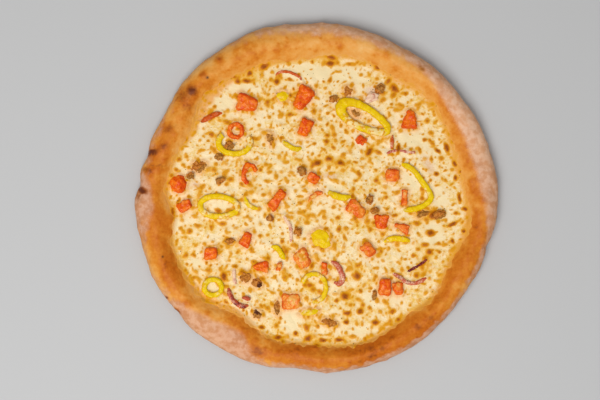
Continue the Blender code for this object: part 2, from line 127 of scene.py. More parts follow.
def turned(x, y, degrees):
    cos, sin = math.cos(math.radians(degrees)), math.sin(math.radians(degrees))
    return x * cos - y * sin, x * sin + y * cos


def valuesOf(mesh, name):
    flat = np.empty(len(mesh.vertices) * 3)
    mesh.vertices.foreach_get(name, flat)
    return flat.reshape(-1, 3)


def placesOf(mesh):
    return valuesOf(mesh, "co") / mm


def setPlaces(mesh, places):
    mesh.vertices.foreach_set("co", (places * mm).ravel())
    mesh.update()


def store(mesh, **attributes):
    for name, values in attributes.items():
        layer = mesh.attributes.new(name, "FLOAT", "POINT")
        layer.data.foreach_set("value", np.asarray(values, dtype=np.float32))


def linked(name, data):
    piece = bpy.data.objects.new(name, data)
    scene.collection.objects.link(piece)
    return piece


def addPiece(name, mesh, material):
    mesh.name = name
    mesh.materials.clear()
    mesh.materials.append(material)
    mesh.shade_smooth()
    return linked(name, mesh)


def evaluatedMesh(piece):
    mesh = bpy.data.meshes.new_from_object(piece.evaluated_get(bpy.context.evaluated_depsgraph_get()))
    bpy.data.objects.remove(piece, do_unlink=True)
    return mesh


def meshOf(places, faces):
    mesh = bpy.data.meshes.new("shape")
    mesh.from_pydata((places * mm).tolist(), [], faces)
    shape = bmesh.new()
    shape.from_mesh(mesh)
    bmesh.ops.recalc_face_normals(shape, faces=shape.faces)
    shape.to_mesh(mesh)
    shape.free()
    return mesh


def ringFaces(rows):  # quads between rows of as many points, each row a closed ring
    faces = []
    for upper, lower in zip(rows, rows[1:]):
        for j in range(len(upper)):
            k = (j + 1) % len(upper)
            faces.append((upper[j], upper[k], lower[k], lower[j]))
    return faces


def nearestTree(points):
    tree = KDTree(len(points))
    for i, point in enumerate(points):
        tree.insert(point, i)
    tree.balance()
    return tree


# Shader parts shared by the materials.
def fill(tree, made, sockets):
    for name, value in sockets.items():
        if isinstance(value, bpy.types.NodeSocket):
            tree.links.new(value, made.inputs[name])
        else:
            made.inputs[name].default_value = value


def addNode(tree, kind, sockets=None, **settings):
    made = tree.nodes.new(kind)
    for name, value in settings.items():
        setattr(made, name, value)
    fill(tree, made, sockets or {})
    return made


def maths(tree, operation, first, second=0.0, clamp=False):
    return addNode(tree, "ShaderNodeMath", {0: first, 1: second}, operation=operation, use_clamp=clamp).outputs[0]


def times(tree, first, second):
    return maths(tree, "MULTIPLY", first, second)


def plus(tree, first, second):
    return maths(tree, "ADD", first, second)


def mixed(tree, factor, first, second, most=1.0):
    if most != 1:
        factor = times(tree, factor, most)
    return addNode(tree, "ShaderNodeMix", {0: factor, 6: first, 7: second}, data_type="RGBA").outputs[2]


def eased(tree, value, low, high):
    sockets = {"Value": value, "From Min": low, "From Max": high}
    return addNode(tree, "ShaderNodeMapRange", sockets, interpolation_type="SMOOTHSTEP").outputs[0]


def spread(tree, value, low, high):
    return addNode(tree, "ShaderNodeMapRange", {"Value": value, "To Min": low, "To Max": high}).outputs[0]


def cloud(tree, scale, detail=3.0, rough=0.55, stretch=None):  # scale counts features to the metre
    where = addNode(tree, "ShaderNodeTexCoord").outputs["Object"]
    if stretch:
        where = addNode(tree, "ShaderNodeMapping", {"Vector": where, "Scale": stretch}).outputs[0]
    sockets = {"Vector": where, "Scale": scale, "Detail": detail, "Roughness": rough}
    return addNode(tree, "ShaderNodeTexNoise", sockets).outputs["Fac"]


def ragged(tree, amount, scale, detail=3.0, rough=0.55):  # a cloud about zero
    return times(tree, maths(tree, "SUBTRACT", cloud(tree, scale, detail, rough), 0.5), amount)


def measured(tree, *names):  # the piece's own attributes
    return [addNode(tree, "ShaderNodeAttribute", attribute_name=name).outputs["Fac"] for name in names]


def newGroup(name, kind, inputs, outputs):
    group = bpy.data.node_groups.new(name, kind)
    for way, sockets in (("INPUT", inputs), ("OUTPUT", outputs)):
        for label, holds, *value in sockets:
            socket = group.interface.new_socket(label, in_out=way, socket_type="NodeSocket" + holds)
            if value:
                socket.default_value = value[0]
    return group, addNode(group, "NodeGroupInput").outputs, addNode(group, "NodeGroupOutput")


def toastGroup():
    # Colour that goes from bare through golden and brown to scorched as the heat mask grows, with a ragged edge.
    group, given, result = newGroup("toasting", "ShaderNodeTree", (
        ("Bare", "Color", tone(245, 228, 185)), ("Golden", "Color", tone(228, 160, 52)),
        ("Brown", "Color", tone(188, 102, 28)), ("Scorched", "Color", tone(96, 46, 20)),
        ("Heat", "Float", 0.0), ("Grain", "Float", 1300.0), ("Ragged", "Float", 0.3)),
        (("Color", "Color"), ("Mask", "Float")))
    heat = plus(group, given["Heat"], times(group, ragged(group, given["Ragged"], given["Grain"], 4, 0.62), 2.0))
    colour = given["Bare"]
    for shade, low, high in (("Golden", 0.10, 0.52), ("Brown", 0.50, 0.98), ("Scorched", 0.92, 1.35)):
        colour = mixed(group, eased(group, heat, low, high), colour, given[shade])
    fill(group, result, {"Color": colour, "Mask": maths(group, "MULTIPLY", heat, 1.0, True)})
    return group


def mottleGroup():
    # Two colours in soft clouds.
    group, given, result = newGroup("mottling", "ShaderNodeTree", (
        ("First", "Color"), ("Second", "Color"), ("Scale", "Float", 200.0)), (("Color", "Color"),))
    mask = eased(group, cloud(group, given["Scale"], 3, 0.6), 0.38, 0.64)
    fill(group, result, {"Color": mixed(group, mask, given["First"], given["Second"])})
    return group


def coverGroup():
    # Cheese run over a topping: patchy where the veil is thin, with toasted spots of its own.
    group, given, result = newGroup("covering", "ShaderNodeTree", (
        ("Bare", "Color"), ("Cheese", "Color", tone(234, 190, 110)), ("Spots", "Color", tone(218, 146, 26)),
        ("Veil", "Float", 0.0)), (("Color", "Color"),))
    share = eased(group, plus(group, given["Veil"], ragged(group, 0.9, 520, 3, 0.6)), 0.2, 0.8)
    spots = eased(group, cloud(group, 300, 2, 0.5, (1, 1, 0.3)), 0.5, 0.6)
    spotted = mixed(group, spots, given["Cheese"], given["Spots"])
    fill(group, result, {"Color": mixed(group, share, given["Bare"], spotted, 0.9)})
    return group


toasting, mottling, covering = toastGroup(), mottleGroup(), coverGroup()


def mottled(tree, first, second, scale):
    sockets = {"First": first, "Second": second, "Scale": scale}
    return addNode(tree, "ShaderNodeGroup", sockets, node_tree=mottling).outputs["Color"]


def covered(tree, veil, colour, cheese):
    sockets = {"Bare": colour, "Cheese": cheese, "Veil": veil}
    return addNode(tree, "ShaderNodeGroup", sockets, node_tree=covering).outputs["Color"]


def newMaterial(name):
    material = bpy.data.materials.new(name)
    material.use_nodes = True
    return material, material.node_tree, material.node_tree.nodes["Principled BSDF"]


def finishMaterial(tree, shader, colour, rough, specular, height, strength, deep):
    bump = addNode(tree, "ShaderNodeBump", {"Height": height, "Strength": strength, "Distance": deep * mm})
    fill(tree, shader, {"Base Color": colour, "Roughness": rough, "Specular IOR Level": specular,
                        "Normal": bump.outputs[0]})


# The baked crust: the CAD's own outline, finer, with its skin, blisters, flour and baked patches.
crustLook = {
    "steps": 900, "wallRows": 4, "innerRows": 26, "outerRows": 28, "footRows": 12,
    "underInsets": (12, 18, 27, 45, 75, 110), "top": 23.6,
    "skin": 0.28, "skinSpacing": 5.0, "grain": 0.12, "grainSpacing": 1.7, "bubbles": 190, "pores": 200,
    # how floury the outer side is: direction, spread, amount
    "flour": (
        (233, 15, 1.25), (72, 20, 0.6), (100, 14, 0.35), (31, 20, 1.2), (2, 16, 0.7), (332, 20, 0.1),
        (181, 7, 0.6), (180, 26, 0.3), (280, 34, 0.12)),
    # where the outer side takes a paler tone, towards the upper right and the top: direction, spread, amount
    "thick": ((28, 24, 0.75), (84, 26, 0.45)),
    # how much deeper the inner side is baked
    "deeper": (
        (285, 30, 0.2), (262, 8, 0.08), (345, 22, 0.14), (200, 26, 0.2), (120, 16, 0.05), (88, 34, -0.2),
        (50, 20, -0.1), (227, 16, -0.24)),
    # the side that is baked darkest and the left one: direction, spread, amount
    "dark": ((288, 42, 1.0),), "left": ((178, 26, 1.0),),
    # baked patches in the picture: across, down, radius in mm, strength
    "patches": (
        (193, 92, 3.8, 0.36), (185, 96, 8.5, 0.2), (187, 106, 6, 0.14), (204, 76, 3.4, 0.4),
        (219, 60, 5, 0.16), (168, 129, 5.5, 0.3), (165, 146, 4.5, 0.24), (153, 152, 6, 0.2),
        (427, 72, 3.6, 0.34), (395, 72, 6, 0.16), (338, 48, 6, 0.14), (413, 69, 6, 0.12), (365, 352, 10, 0.1),
        (420, 325, 9, 0.12), (258, 351, 7.5, 0.2), (275, 352, 9, 0.06), (468, 190, 9, 0.16),
        (474, 226, 5, 0.14), (456, 250, 8, 0.16), (178, 311, 3, 0.35), (168, 297, 1.6, 0.5),
        (143, 191, 4, 0.16), (150, 172, 4, 0.28), (160, 245, 7, 0.14), (176, 268, 9, 0.14),
        (248, 328, 5, 0.2), (235, 322, 5, 0.14), (440, 100, 5, 0.14), (230, 312, 7, 0.14)),
    "dots": ((208.5, 79, 1.2), (167.8, 297, 0.8), (164.5, 256, 0.9)),
    # dark baked marks, and one thin line of painted crease shade: across, down, half length and half width in mm,
    # turn, strength
    "marks": (
        (193, 92, 4.4, 3.8, 0, 0.95), (184, 97, 8, 6, 30, 0.5), (189, 108, 7, 5, 0, 0.34),
        (204.5, 76, 3.0, 2.2, 0, 0.36), (219, 60, 3.4, 2.4, 20, 0.2), (170, 129.5, 5.4, 3.4, 20, 0.5),
        (165, 147, 4.4, 3.0, 0, 0.5), (153, 152.5, 6.4, 2.4, 12, 1.0), (147, 169.5, 3.4, 2.2, 0, 0.6),
        # the thin line at 158, 166 is painted shade along a crease
        (144, 191, 4.6, 2.6, -20, 1.0), (140, 197, 2.4, 4.0, 0, 0.55), (158, 166, 9, 0.7, 4, 0.45),
        (421, 70.5, 3.4, 1.8, -30, 0.5), (178, 310, 3.4, 1.5, -50, 0.6), (168, 297, 1.6, 1.1, 0, 0.6),
        (258, 350, 6.4, 4.4, 0, 0.5), (429, 316, 2.8, 2.4, 0, 0.5), (417, 326, 3.0, 2.6, 40, 0.5),
        (381, 347, 2.6, 2.6, 0, 0.5), (370, 354, 3.6, 2.4, 20, 0.55), (359, 359, 2.2, 2.0, 0, 0.42),
        (247, 327, 4.4, 1.8, -8, 0.3), (438, 299, 2.4, 2.6, 0, 0.24), (395, 66, 3.4, 1.8, -30, 0.2),
        (484, 236, 1.6, 4.0, 0, 0.3)),
    # how the skin browns: heat and colour
    "browning": (
        (0.0, (232, 190, 124)), (0.24, (230, 170, 92)), (0.44, (226, 154, 66)), (0.60, (214, 130, 34)),
        (0.78, (194, 100, 8)), (0.93, (136, 62, 10)), (1.0, (84, 38, 14))),
}


def rimSection():
    # Radius and height, from the dough floor up the wall, over the crest and in along the underside.
    wall, crest = nominal - rim["width"], nominal - rim["crestInset"]
    low, top, high, widest = rim["floor"], melt["edge"] + rim["lip"], rim["height"], rim["widest"]
    wallRows, innerRows = crustLook["wallRows"], crustLook["innerRows"]
    outerRows, footRows = crustLook["outerRows"], crustLook["footRows"]
    section = [(wall * 0.5, low), (wall, low)]
    section += [(wall, low + (top - low) * i / wallRows) for i in range(1, wallRows + 1)]
    for i in range(1, innerRows + 1):
        rise = math.sin(i / innerRows * math.pi / 2)
        section.append((wall + (crest - wall) * i / innerRows, top + (high - top) * rise))
    for i in range(1, outerRows + 1):
        turn = i / outerRows * math.pi / 2
        section.append((crest + rim["crestInset"] * math.sin(turn), widest + (high - widest) * math.cos(turn)))
    for i in range(1, footRows + 1):
        turn = i / footRows * math.pi / 2
        section.append((nominal - rim["footInset"] * (1 - math.cos(turn)), widest * (1 - math.sin(turn))))
    return section + [(nominal - inset, 0.0) for inset in crustLook["underInsets"]]


def shapedRim(points):
    radius, turn = np.hypot(points[:, 0], points[:, 1]), np.arctan2(points[:, 1], points[:, 0])
    degrees = np.degrees(turn)
    inward, height = nominal - radius, points[:, 2]
    outer, wall = outlineRadius(degrees), wallRadius(degrees)
    reach = np.where(inward > rim["width"] + 0.3, radius * wall / (nominal - rim["width"]),
                     outer - inward / rim["width"] * (outer - wall))
    share = np.clip(inward / rim["width"], 0, 1)
    onTop = np.sin(np.pi * share) * height / rim["height"]
    onSide = (1 - share) ** 2 * np.minimum(1, height / rim["widest"])
    along = polar(outer, turn, np.zeros_like(outer))
    swell = noiseOver(along, rim["swellSpacing"]) * rim["swell"]
    swell = swell + noiseOver(points, rim["bumpSpacing"]) * rim["bump"]
    fold = lobes(degrees, rim["creases"])
    lifted = height + onTop * (lobes(degrees, rim["heights"]) + swell - fold / 2)
    return polar(reach + onSide * (swell - fold), turn, lifted), share, degrees


def crustMiddle():  # how far the outline's box is moved to centre it, as in the CAD
    turns = np.arange(rim["steps"]) / rim["steps"] * 2 * np.pi
    ring = np.array([(nominal * math.cos(t), nominal * math.sin(t), rim["widest"]) for t in turns])
    ring, _, _ = shapedRim(ring)
    return np.append(-(ring.max(axis=0) + ring.min(axis=0))[:2] / 2, 0)


def crustMesh(middle):
    section, count = rimSection(), crustLook["steps"]
    turns = np.arange(count) / count * 2 * np.pi
    blank = np.array([(r * math.cos(t), r * math.sin(t), z) for r, z in section for t in turns])
    places, share, degrees = shapedRim(blank)
    heart, last = len(places), len(places) - count
    places = np.vstack((places, [(0, 0, rim["floor"]), (0, 0, 0)])) + middle
    faces = ringFaces([range(i * count, (i + 1) * count) for i in range(len(section))])
    for j in range(count):
        k = (j + 1) % count
        faces += [(heart, k, j), (heart + 1, last + j, last + k)]
    return meshOf(places, faces), np.append(share, (1, 1)), np.append(degrees, (0, 0))


def addBubbles(places, shown, lift, heat):
    chance = random.Random(12)
    tree = nearestTree(places.tolist())
    seen = [i for i in range(0, len(places), 7) if shown[i]]

    def press(heart, size, tall, warmth):
        for _, i, far in tree.find_range(heart, size * 2):
            near = math.exp(-((far / size) ** 2) * 1.6)
            lift[i] += tall * near
            heat[i] += warmth * near

    for _ in range(crustLook["bubbles"]):
        heart, size = places[chance.choice(seen)].tolist(), 1.2 + 3.6 * chance.random() ** 2
        press(heart, size, size * chance.uniform(0.12, 0.24), 0.16)
    for _ in range(crustLook["pores"]):
        heart, size = places[chance.choice(seen)].tolist(), chance.uniform(0.5, 1.1)
        press(heart, size, -size * chance.uniform(0.25, 0.5), 0)


def makeCrust():
    middle = crustMiddle()
    mesh, share, degrees = crustMesh(middle)
    places = placesOf(mesh)
    level, outward = places[:, 2], 1 - share
    outside = (level > 0.4) & (share <= 0.995)
    lift = crustLook["skin"] * cloudOver(places, crustLook["skinSpacing"], 3.0)
    lift += crustLook["grain"] * cloudOver(places, crustLook["grainSpacing"], 9.0, 3)
    heat, marks = np.zeros(len(places)), np.zeros(len(places))
    addBubbles(places, outside & (share < 0.93) & (level > 3), lift, heat)
    wander = cloudOver(places, 4.0, 22.0, 3)
    for across, down, size, strength in crustLook["patches"]:
        near = fade(places, across, down, size) * (level > 4) * (1 + 0.6 * wander)
        heat += near * strength
        lift += near * 0.35 * (strength > 0.3)
    dots = sum(fade(places, *dot) for dot in crustLook["dots"]) * (level > 4)
    x, y = places[:, 0] + 1.2 * wander, places[:, 1] - 1.2 * wander
    for *oval, strength in crustLook["marks"]:
        marks = np.maximum(marks, strength * np.exp(-ovalAway(x, y, *oval) * 0.8) * (level > 2))
    # Crease lines: dented into the skin, and browned darker there as painted shade in the folds.
    creaseDentAndShade = lobes(degrees, [(centre, 1.1, 1) for centre, _, _ in rim["creases"]]) * np.clip(1 - share * 1.9, 0, 1)
    lift -= creaseDentAndShade * 0.5
    heat += creaseDentAndShade * 0.22
    moved = places + valuesOf(mesh, "normal") * (lift * outside)[:, None]
    moved[:, 2] = np.clip(moved[:, 2], 0, crustLook["top"])
    setPlaces(mesh, moved)
    # How brown each point is: more on the inner side, less on the floury outer one.
    broad, small = cloudOver(places, 26, 5.0, 2), cloudOver(places, 7, 15.0, 3)
    dark, left = lobes(degrees, crustLook["dark"]), lobes(degrees, crustLook["left"])
    bake = 0.50 + 0.10 * hump(outward, 0.3, 0.22) + 0.18 * broad + 0.16 * small + heat
    bake += lobes(degrees, crustLook["deeper"]) * hump(outward, 0.34, 0.26)
    bake -= 0.14 * ramped(0.62, 0.92, outward) * (1 - 1.6 * dark)
    bake -= 0.17 * hump(outward, 0, 0.2) * (1 - dark)
    bake += (0.25 * dark + 0.16 * left) * ramped(0.35, 0.7, outward)
    bake = np.where(bake > 0.68, 0.68 + (bake - 0.68) * 0.45, bake)
    bake = np.where(level < 0.4, 0.55 + 0.22 * cloudOver(places, 14, 2.0, 3), bake)
    flour = lobes(degrees, crustLook["flour"]) + 0.42
    reach = np.clip(flour, 0.2, 1.3)
    flour = flour * ramped(0.88 - 0.5 * reach, 1.2 - 0.4 * reach, outward + 0.06 * broad)
    flour += 0.4 * small * ramped(0.3, 0.8, outward)
    flour += (0.9 + 0.6 * small) * dark * ramped(0.71, 0.92, outward + 0.1 * small)
    flour *= 1 - 0.8 * np.clip(marks * 1.4, 0, 1)
    store(mesh, bake=bake, flour=np.clip(flour, 0, 1.2), scorch=np.clip(dots, 0, 1), mark=marks,
          thick=lobes(degrees, crustLook["thick"]))
    return mesh, middle


def crustMaterial():
    material, tree, shader = newMaterial("crustBaked")
    bake, flour, scorch, mark, thick = measured(tree, "bake", "flour", "scorch", "mark", "thick")
    ramp = addNode(tree, "ShaderNodeValToRGB", {"Fac": plus(tree, bake, ragged(tree, 0.30, 420, 4, 0.6))})
    band = ramp.color_ramp
    while len(band.elements) < len(crustLook["browning"]):
        band.elements.new(0.5)
    for element, (place, colour) in zip(band.elements, crustLook["browning"]):
        element.position, element.color = place, tone(*colour)
    dust = eased(tree, plus(tree, flour, ragged(tree, 0.7, 900, 4, 0.65)), 0.2, 1.05)
    # the 'thick' attribute sets where the outer side takes the paler tone
    pale = mixed(tree, thick, mottled(tree, tone(216, 168, 136), tone(196, 136, 96), 160),
                 mottled(tree, tone(242, 200, 168), tone(228, 172, 132), 160))
    colour = mixed(tree, dust, ramp.outputs[0], pale, 0.88)
    burnt = eased(tree, plus(tree, mark, ragged(tree, 0.5, 500)), 0.04, 0.95)
    colour = mixed(tree, scorch, mixed(tree, burnt, colour, tone(104, 44, 12)), tone(40, 22, 16))
    fine = plus(tree, cloud(tree, 700, 5, 0.6), times(tree, cloud(tree, 2600, 3, 0.6), 0.35))
    finishMaterial(tree, shader, colour, spread(tree, dust, 0.5, 0.85), 0.18, fine, 0.5, 0.35)
    return material


crustShape, middle = makeCrust()
crustPiece = addPiece("crustBaked", crustShape, crustMaterial())
crustTree = BVHTree.FromObject(crustPiece, bpy.context.evaluated_depsgraph_get())
cadCheese = BVHTree.FromObject(nodes["cheese"], bpy.context.evaluated_depsgraph_get())
print("pizza: crust", len(crustShape.polygons), "faces, middle", middle.round(3))


def heightOn(tree, x, y, otherwise):  # mm, straight down onto a surface
    hit = tree.ray_cast(Vector((x, y, 60)) * mm, Vector((0, 0, -1)))[0]
    return hit.z / mm if hit else otherwise


# The melted cheese: the CAD's swells, with toasted spots, smooth pools and a film that climbs the crust.
cheeseLook = {
    "cells": 304, "seed": 5, "spots": 680, "spotSpacing": 6.1, "specks": 1250, "edgeSpots": 190,
    # how far the cheese rises against a topping, and over what distance that and its juice reach
    "bulky": 1.15, "slim": 0.85, "riseReach": 1.5, "juiceReach": 2.6, "furthest": 7,
    # the film beyond the wall, and the sides and underside within the crust
    "filmLevel": 12.5, "filmLeast": 12.3, "skirt": ((0.7, 11.3), (0.7, 8.4), (0.7, 5.3), (60, 5.3)), "under": 5.3,
    # smooth white pools in the picture: across, down, half width and half depth in pixels
    "pools": (
        (307, 73, 36, 9), (345, 76, 18, 10), (412, 140, 18, 9), (414, 181, 11, 9), (434, 236, 9, 13),
        (292, 320, 10, 12), (391, 295, 10, 7), (245, 89, 16, 6), (222, 103, 13, 7), (285, 148, 9, 5),
        (440, 200, 6, 9), (250, 320, 12, 5), (335, 190, 8, 5), (235.5, 130.5, 4, 4), (224, 207, 9, 4),
        (213, 287, 4, 4), (178, 225, 5, 6), (199, 262, 8, 5), (370, 300, 6, 8), (440, 150, 8, 6),
        (360, 330, 14, 4)),
    # where the golden edge reaches further in: direction, spread, mm
    "goldenEdge": ((139, 13, 6.5), (224, 12, 3.5), (52, 10, 3.0), (12, 12, 2.0), (345, 10, 2.0)),
    # onion showing through the cheese: across, down, half length and half width in pixels, turn
    "pink": (
        (429, 166, 11, 4.5, -62), (231, 242, 6, 3, 20), (372, 90, 7, 5, 20), (196, 185, 5, 4, 0),
        (392, 285, 5, 3, 0), (330, 176, 8, 3, 0)),
    # toasted patches along the edge and elsewhere: across, down, half length and half width in pixels, turn
    "toasted": (
        (264, 67, 5, 3.4, 25), (250, 73.5, 3, 2.6, 0), (234, 77.5, 3.6, 2.2, 0), (238, 82, 3, 2.6, 0),
        (247, 81.5, 4.6, 2.2, 0), (277, 82, 3, 3.4, 0), (377, 68, 3.4, 3.2, 0), (331, 58, 6, 2.4, -10),
        (330, 64, 5, 3, 0), (394, 89, 5, 3.6, -60), (446, 148, 2.4, 5.4, 20), (437, 151, 4, 2, -40),
        (455, 178, 2, 3, 0), (460, 172, 2.2, 2, -40), (275, 57, 2.4, 2.2, 0), (285, 56.5, 2.4, 2, 0),
        (454, 164, 2.2, 4, 25), (459, 198, 2, 6, 5), (464, 209, 3.2, 2.2, 0), (463, 231, 2.4, 2.4, 0),
        (452, 224, 6, 2, 25), (430, 233, 5, 3.2, 0), (452, 241, 2, 3.2, 20), (173, 214, 2.2, 9, 0),
        (224, 276, 3.2, 5, 0), (345, 296, 5, 4, 0), (357, 276, 4, 4.4, 0), (278, 337, 5, 2, 0),
        (329, 323, 3, 3, 0), (433, 215, 6, 4, 20), (419, 213, 3, 3, 0), (308, 338, 4, 3, 10),
        (429, 252, 3.4, 3, 0), (436, 174, 2.6, 2.2, 0), (398, 149, 2, 6, -8), (369, 152, 3, 5, -30),
        (340, 163, 4, 3, 0), (329, 159, 4, 3, 0), (317, 163, 5, 3, 10), (323, 340, 4.4, 2, 0),
        (339, 339.5, 4.6, 2, 0), (296, 333, 2.6, 2.4, 0), (375, 322, 4, 3, 0), (346, 322, 3, 2.4, 0),
        (360, 311, 3.4, 3.2, 0), (347, 313, 4, 2.2, 0), (262, 327, 3, 2, 0)),
}


def discGrid(cells):
    # A square grid laid on a disc, with even steps round its edge: share of radius and direction.
    a, b = np.meshgrid(np.linspace(-1, 1, cells + 1), np.linspace(-1, 1, cells + 1))
    a, b = a.ravel(), b.ravel()
    with np.errstate(divide="ignore", invalid="ignore"):
        beside = np.pi / 4 * b / a + np.where(a < 0, np.pi, 0)
        above = np.pi / 2 - np.pi / 4 * a / b + np.where(b < 0, np.pi, 0)
    return np.maximum(np.abs(a), np.abs(b)), np.nan_to_num(np.where(np.abs(a) >= np.abs(b), beside, above))


def poolAt(x, y):
    return np.max([np.exp(-(ovalAway(x, y, across, down, wide * pixel, deep * pixel) ** 2))
                   for across, down, wide, deep in cheeseLook["pools"]], axis=0)


def chooseSpots():
    # Blister spots: x, y, radius, stretch, turn, strength. Bigger ones keep their distance, specks fill in.
    chance = random.Random(cheeseLook["seed"])
    spots, cells, cell = [], {}, 8

    def clear(x, y, gap):
        i, j = int(x // cell), int(y // cell)
        near = [spot for u in (i - 1, i, i + 1) for v in (j - 1, j, j + 1) for spot in cells.get((u, v), ())]
        return all(math.hypot(x - a, y - b) >= gap for a, b in near)

    def add(x, y, *look):
        spots.append((x, y, *look))
        cells.setdefault((int(x // cell), int(y // cell)), []).append((x, y))

    def byWall(turn, inset, share=1.0):
        reach = share * (float(wallRadius(np.array([math.degrees(turn)]))[0]) + inset)
        return reach * math.cos(turn) + middle[0], reach * math.sin(turn) + middle[1]

    def addSpot(x, y, pool):
        radius = chance.uniform(1.05, 2.3) * (1 - 0.25 * pool)
        stretch = chance.choice((1, 1.1, 1.2, 1.35, 1.6))
        add(x, y, radius, stretch, chance.uniform(0, math.pi), chance.uniform(0.42, 0.98))
        if chance.random() < 0.3:  # a smaller one runs into it
            lean, step = chance.uniform(0, 2 * math.pi), radius * chance.uniform(1.3, 2.0)
            x, y = x + step * math.cos(lean), y + step * math.sin(lean)
            add(x, y, radius * chance.uniform(0.5, 0.9), 1.3, lean, chance.uniform(0.55, 0.9))

    for across, down, long, wide, turn in cheeseLook["toasted"]:
        add(*onPizza(across, down), wide * pixel, long / wide, math.radians(turn), 1.1)
    for large, wanted in ((True, cheeseLook["spots"]), (False, cheeseLook["specks"])):
        made = tries = 0
        while made < wanted and tries < wanted * 40:
            tries += 1
            turn, far = chance.uniform(0, 2 * math.pi), math.sqrt(chance.random())
            x, y = byWall(turn, -1, far)
            pool = poolAt(x, y)
            if chance.random() < pool * (0.97 if large else 0.8):
                continue
            if not clear(x, y, cheeseLook["spotSpacing"] * chance.uniform(0.75, 1.25) if large else 2.6):
                continue
            if large:
                addSpot(x, y, pool)
            else:
                add(x, y, chance.uniform(0.5, 1.15), chance.choice((1, 1.2, 1.6, 2.4)), chance.uniform(0, math.pi),
                    chance.uniform(0.3, 0.72))
            made += 1
    for _ in range(cheeseLook["edgeSpots"]):
        turn = chance.uniform(0, 2 * math.pi)
        x, y = byWall(turn, chance.uniform(-6, 2.6))
        if chance.random() < poolAt(x, y) * 0.8 or not clear(x, y, 3.4):
            continue
        add(x, y, chance.uniform(0.8, 1.9), chance.choice((1, 1.3, 1.8)), turn + math.pi / 2,
            chance.uniform(0.6, 1.05))
    return spots


def spotField(x, y, spots):
    bare, raised, halo, deep = np.ones_like(x), np.zeros_like(x), np.zeros_like(x), np.zeros_like(x)
    order = np.argsort(x)
    inOrder = x[order]
    for cx, cy, radius, stretch, turn, strength in spots:
        reach = radius * stretch * 3.2
        first, last = np.searchsorted(inOrder, (cx - reach, cx + reach))
        near = order[first:last]
        near = near[np.abs(y[near] - cy) < reach]
        dx, dy = x[near] - cx, y[near] - cy
        along = (dx * math.cos(turn) + dy * math.sin(turn)) / (radius * stretch)
        aside = (-dx * math.sin(turn) + dy * math.cos(turn)) / radius
        away = along**2 + aside**2
        bare[near] *= 1 - np.clip(strength * np.exp(-(away**1.25) * 0.9), 0, 0.97)
        halo[near] += 0.75 * strength * np.exp(-away / 3.2)
        deep[near] = np.maximum(deep[near], max(0.0, strength - 0.9) * np.exp(-(away**1.2) * 1.5))
        raised[near] = np.maximum(raised[near], 0.30 * radius * np.exp(-(away**1.6) * 1.1))
    return 1 - bare + deep, raised, np.clip(halo, 0, 1)


def besideToppings(x, y):
    # How far the cheese rises against what lies on it, and how much of its juice it takes up.
    points, bulks = [], []
    for name, node in nodes.items():
        if name not in ("crust", "cheese"):
            bulky = name.startswith(("tomato", "crumble", "pepper_end"))
            points += [(v.co.x / mm, v.co.y / mm, 0) for v in node.data.vertices]
            bulks += [cheeseLook["bulky" if bulky else "slim"]] * len(node.data.vertices)
    tree = nearestTree(points)
    found = [tree.find((a, b, 0))[1:] for a, b in zip(x, y)]
    bulk, far = np.array([bulks[i] for i, _ in found]), np.array([distance for _, distance in found])
    bulk = bulk * (far < cheeseLook["furthest"])
    return bulk * hump(far, 0, cheeseLook["riseReach"]), (bulk > 1) * hump(far, 0, cheeseLook["juiceReach"])


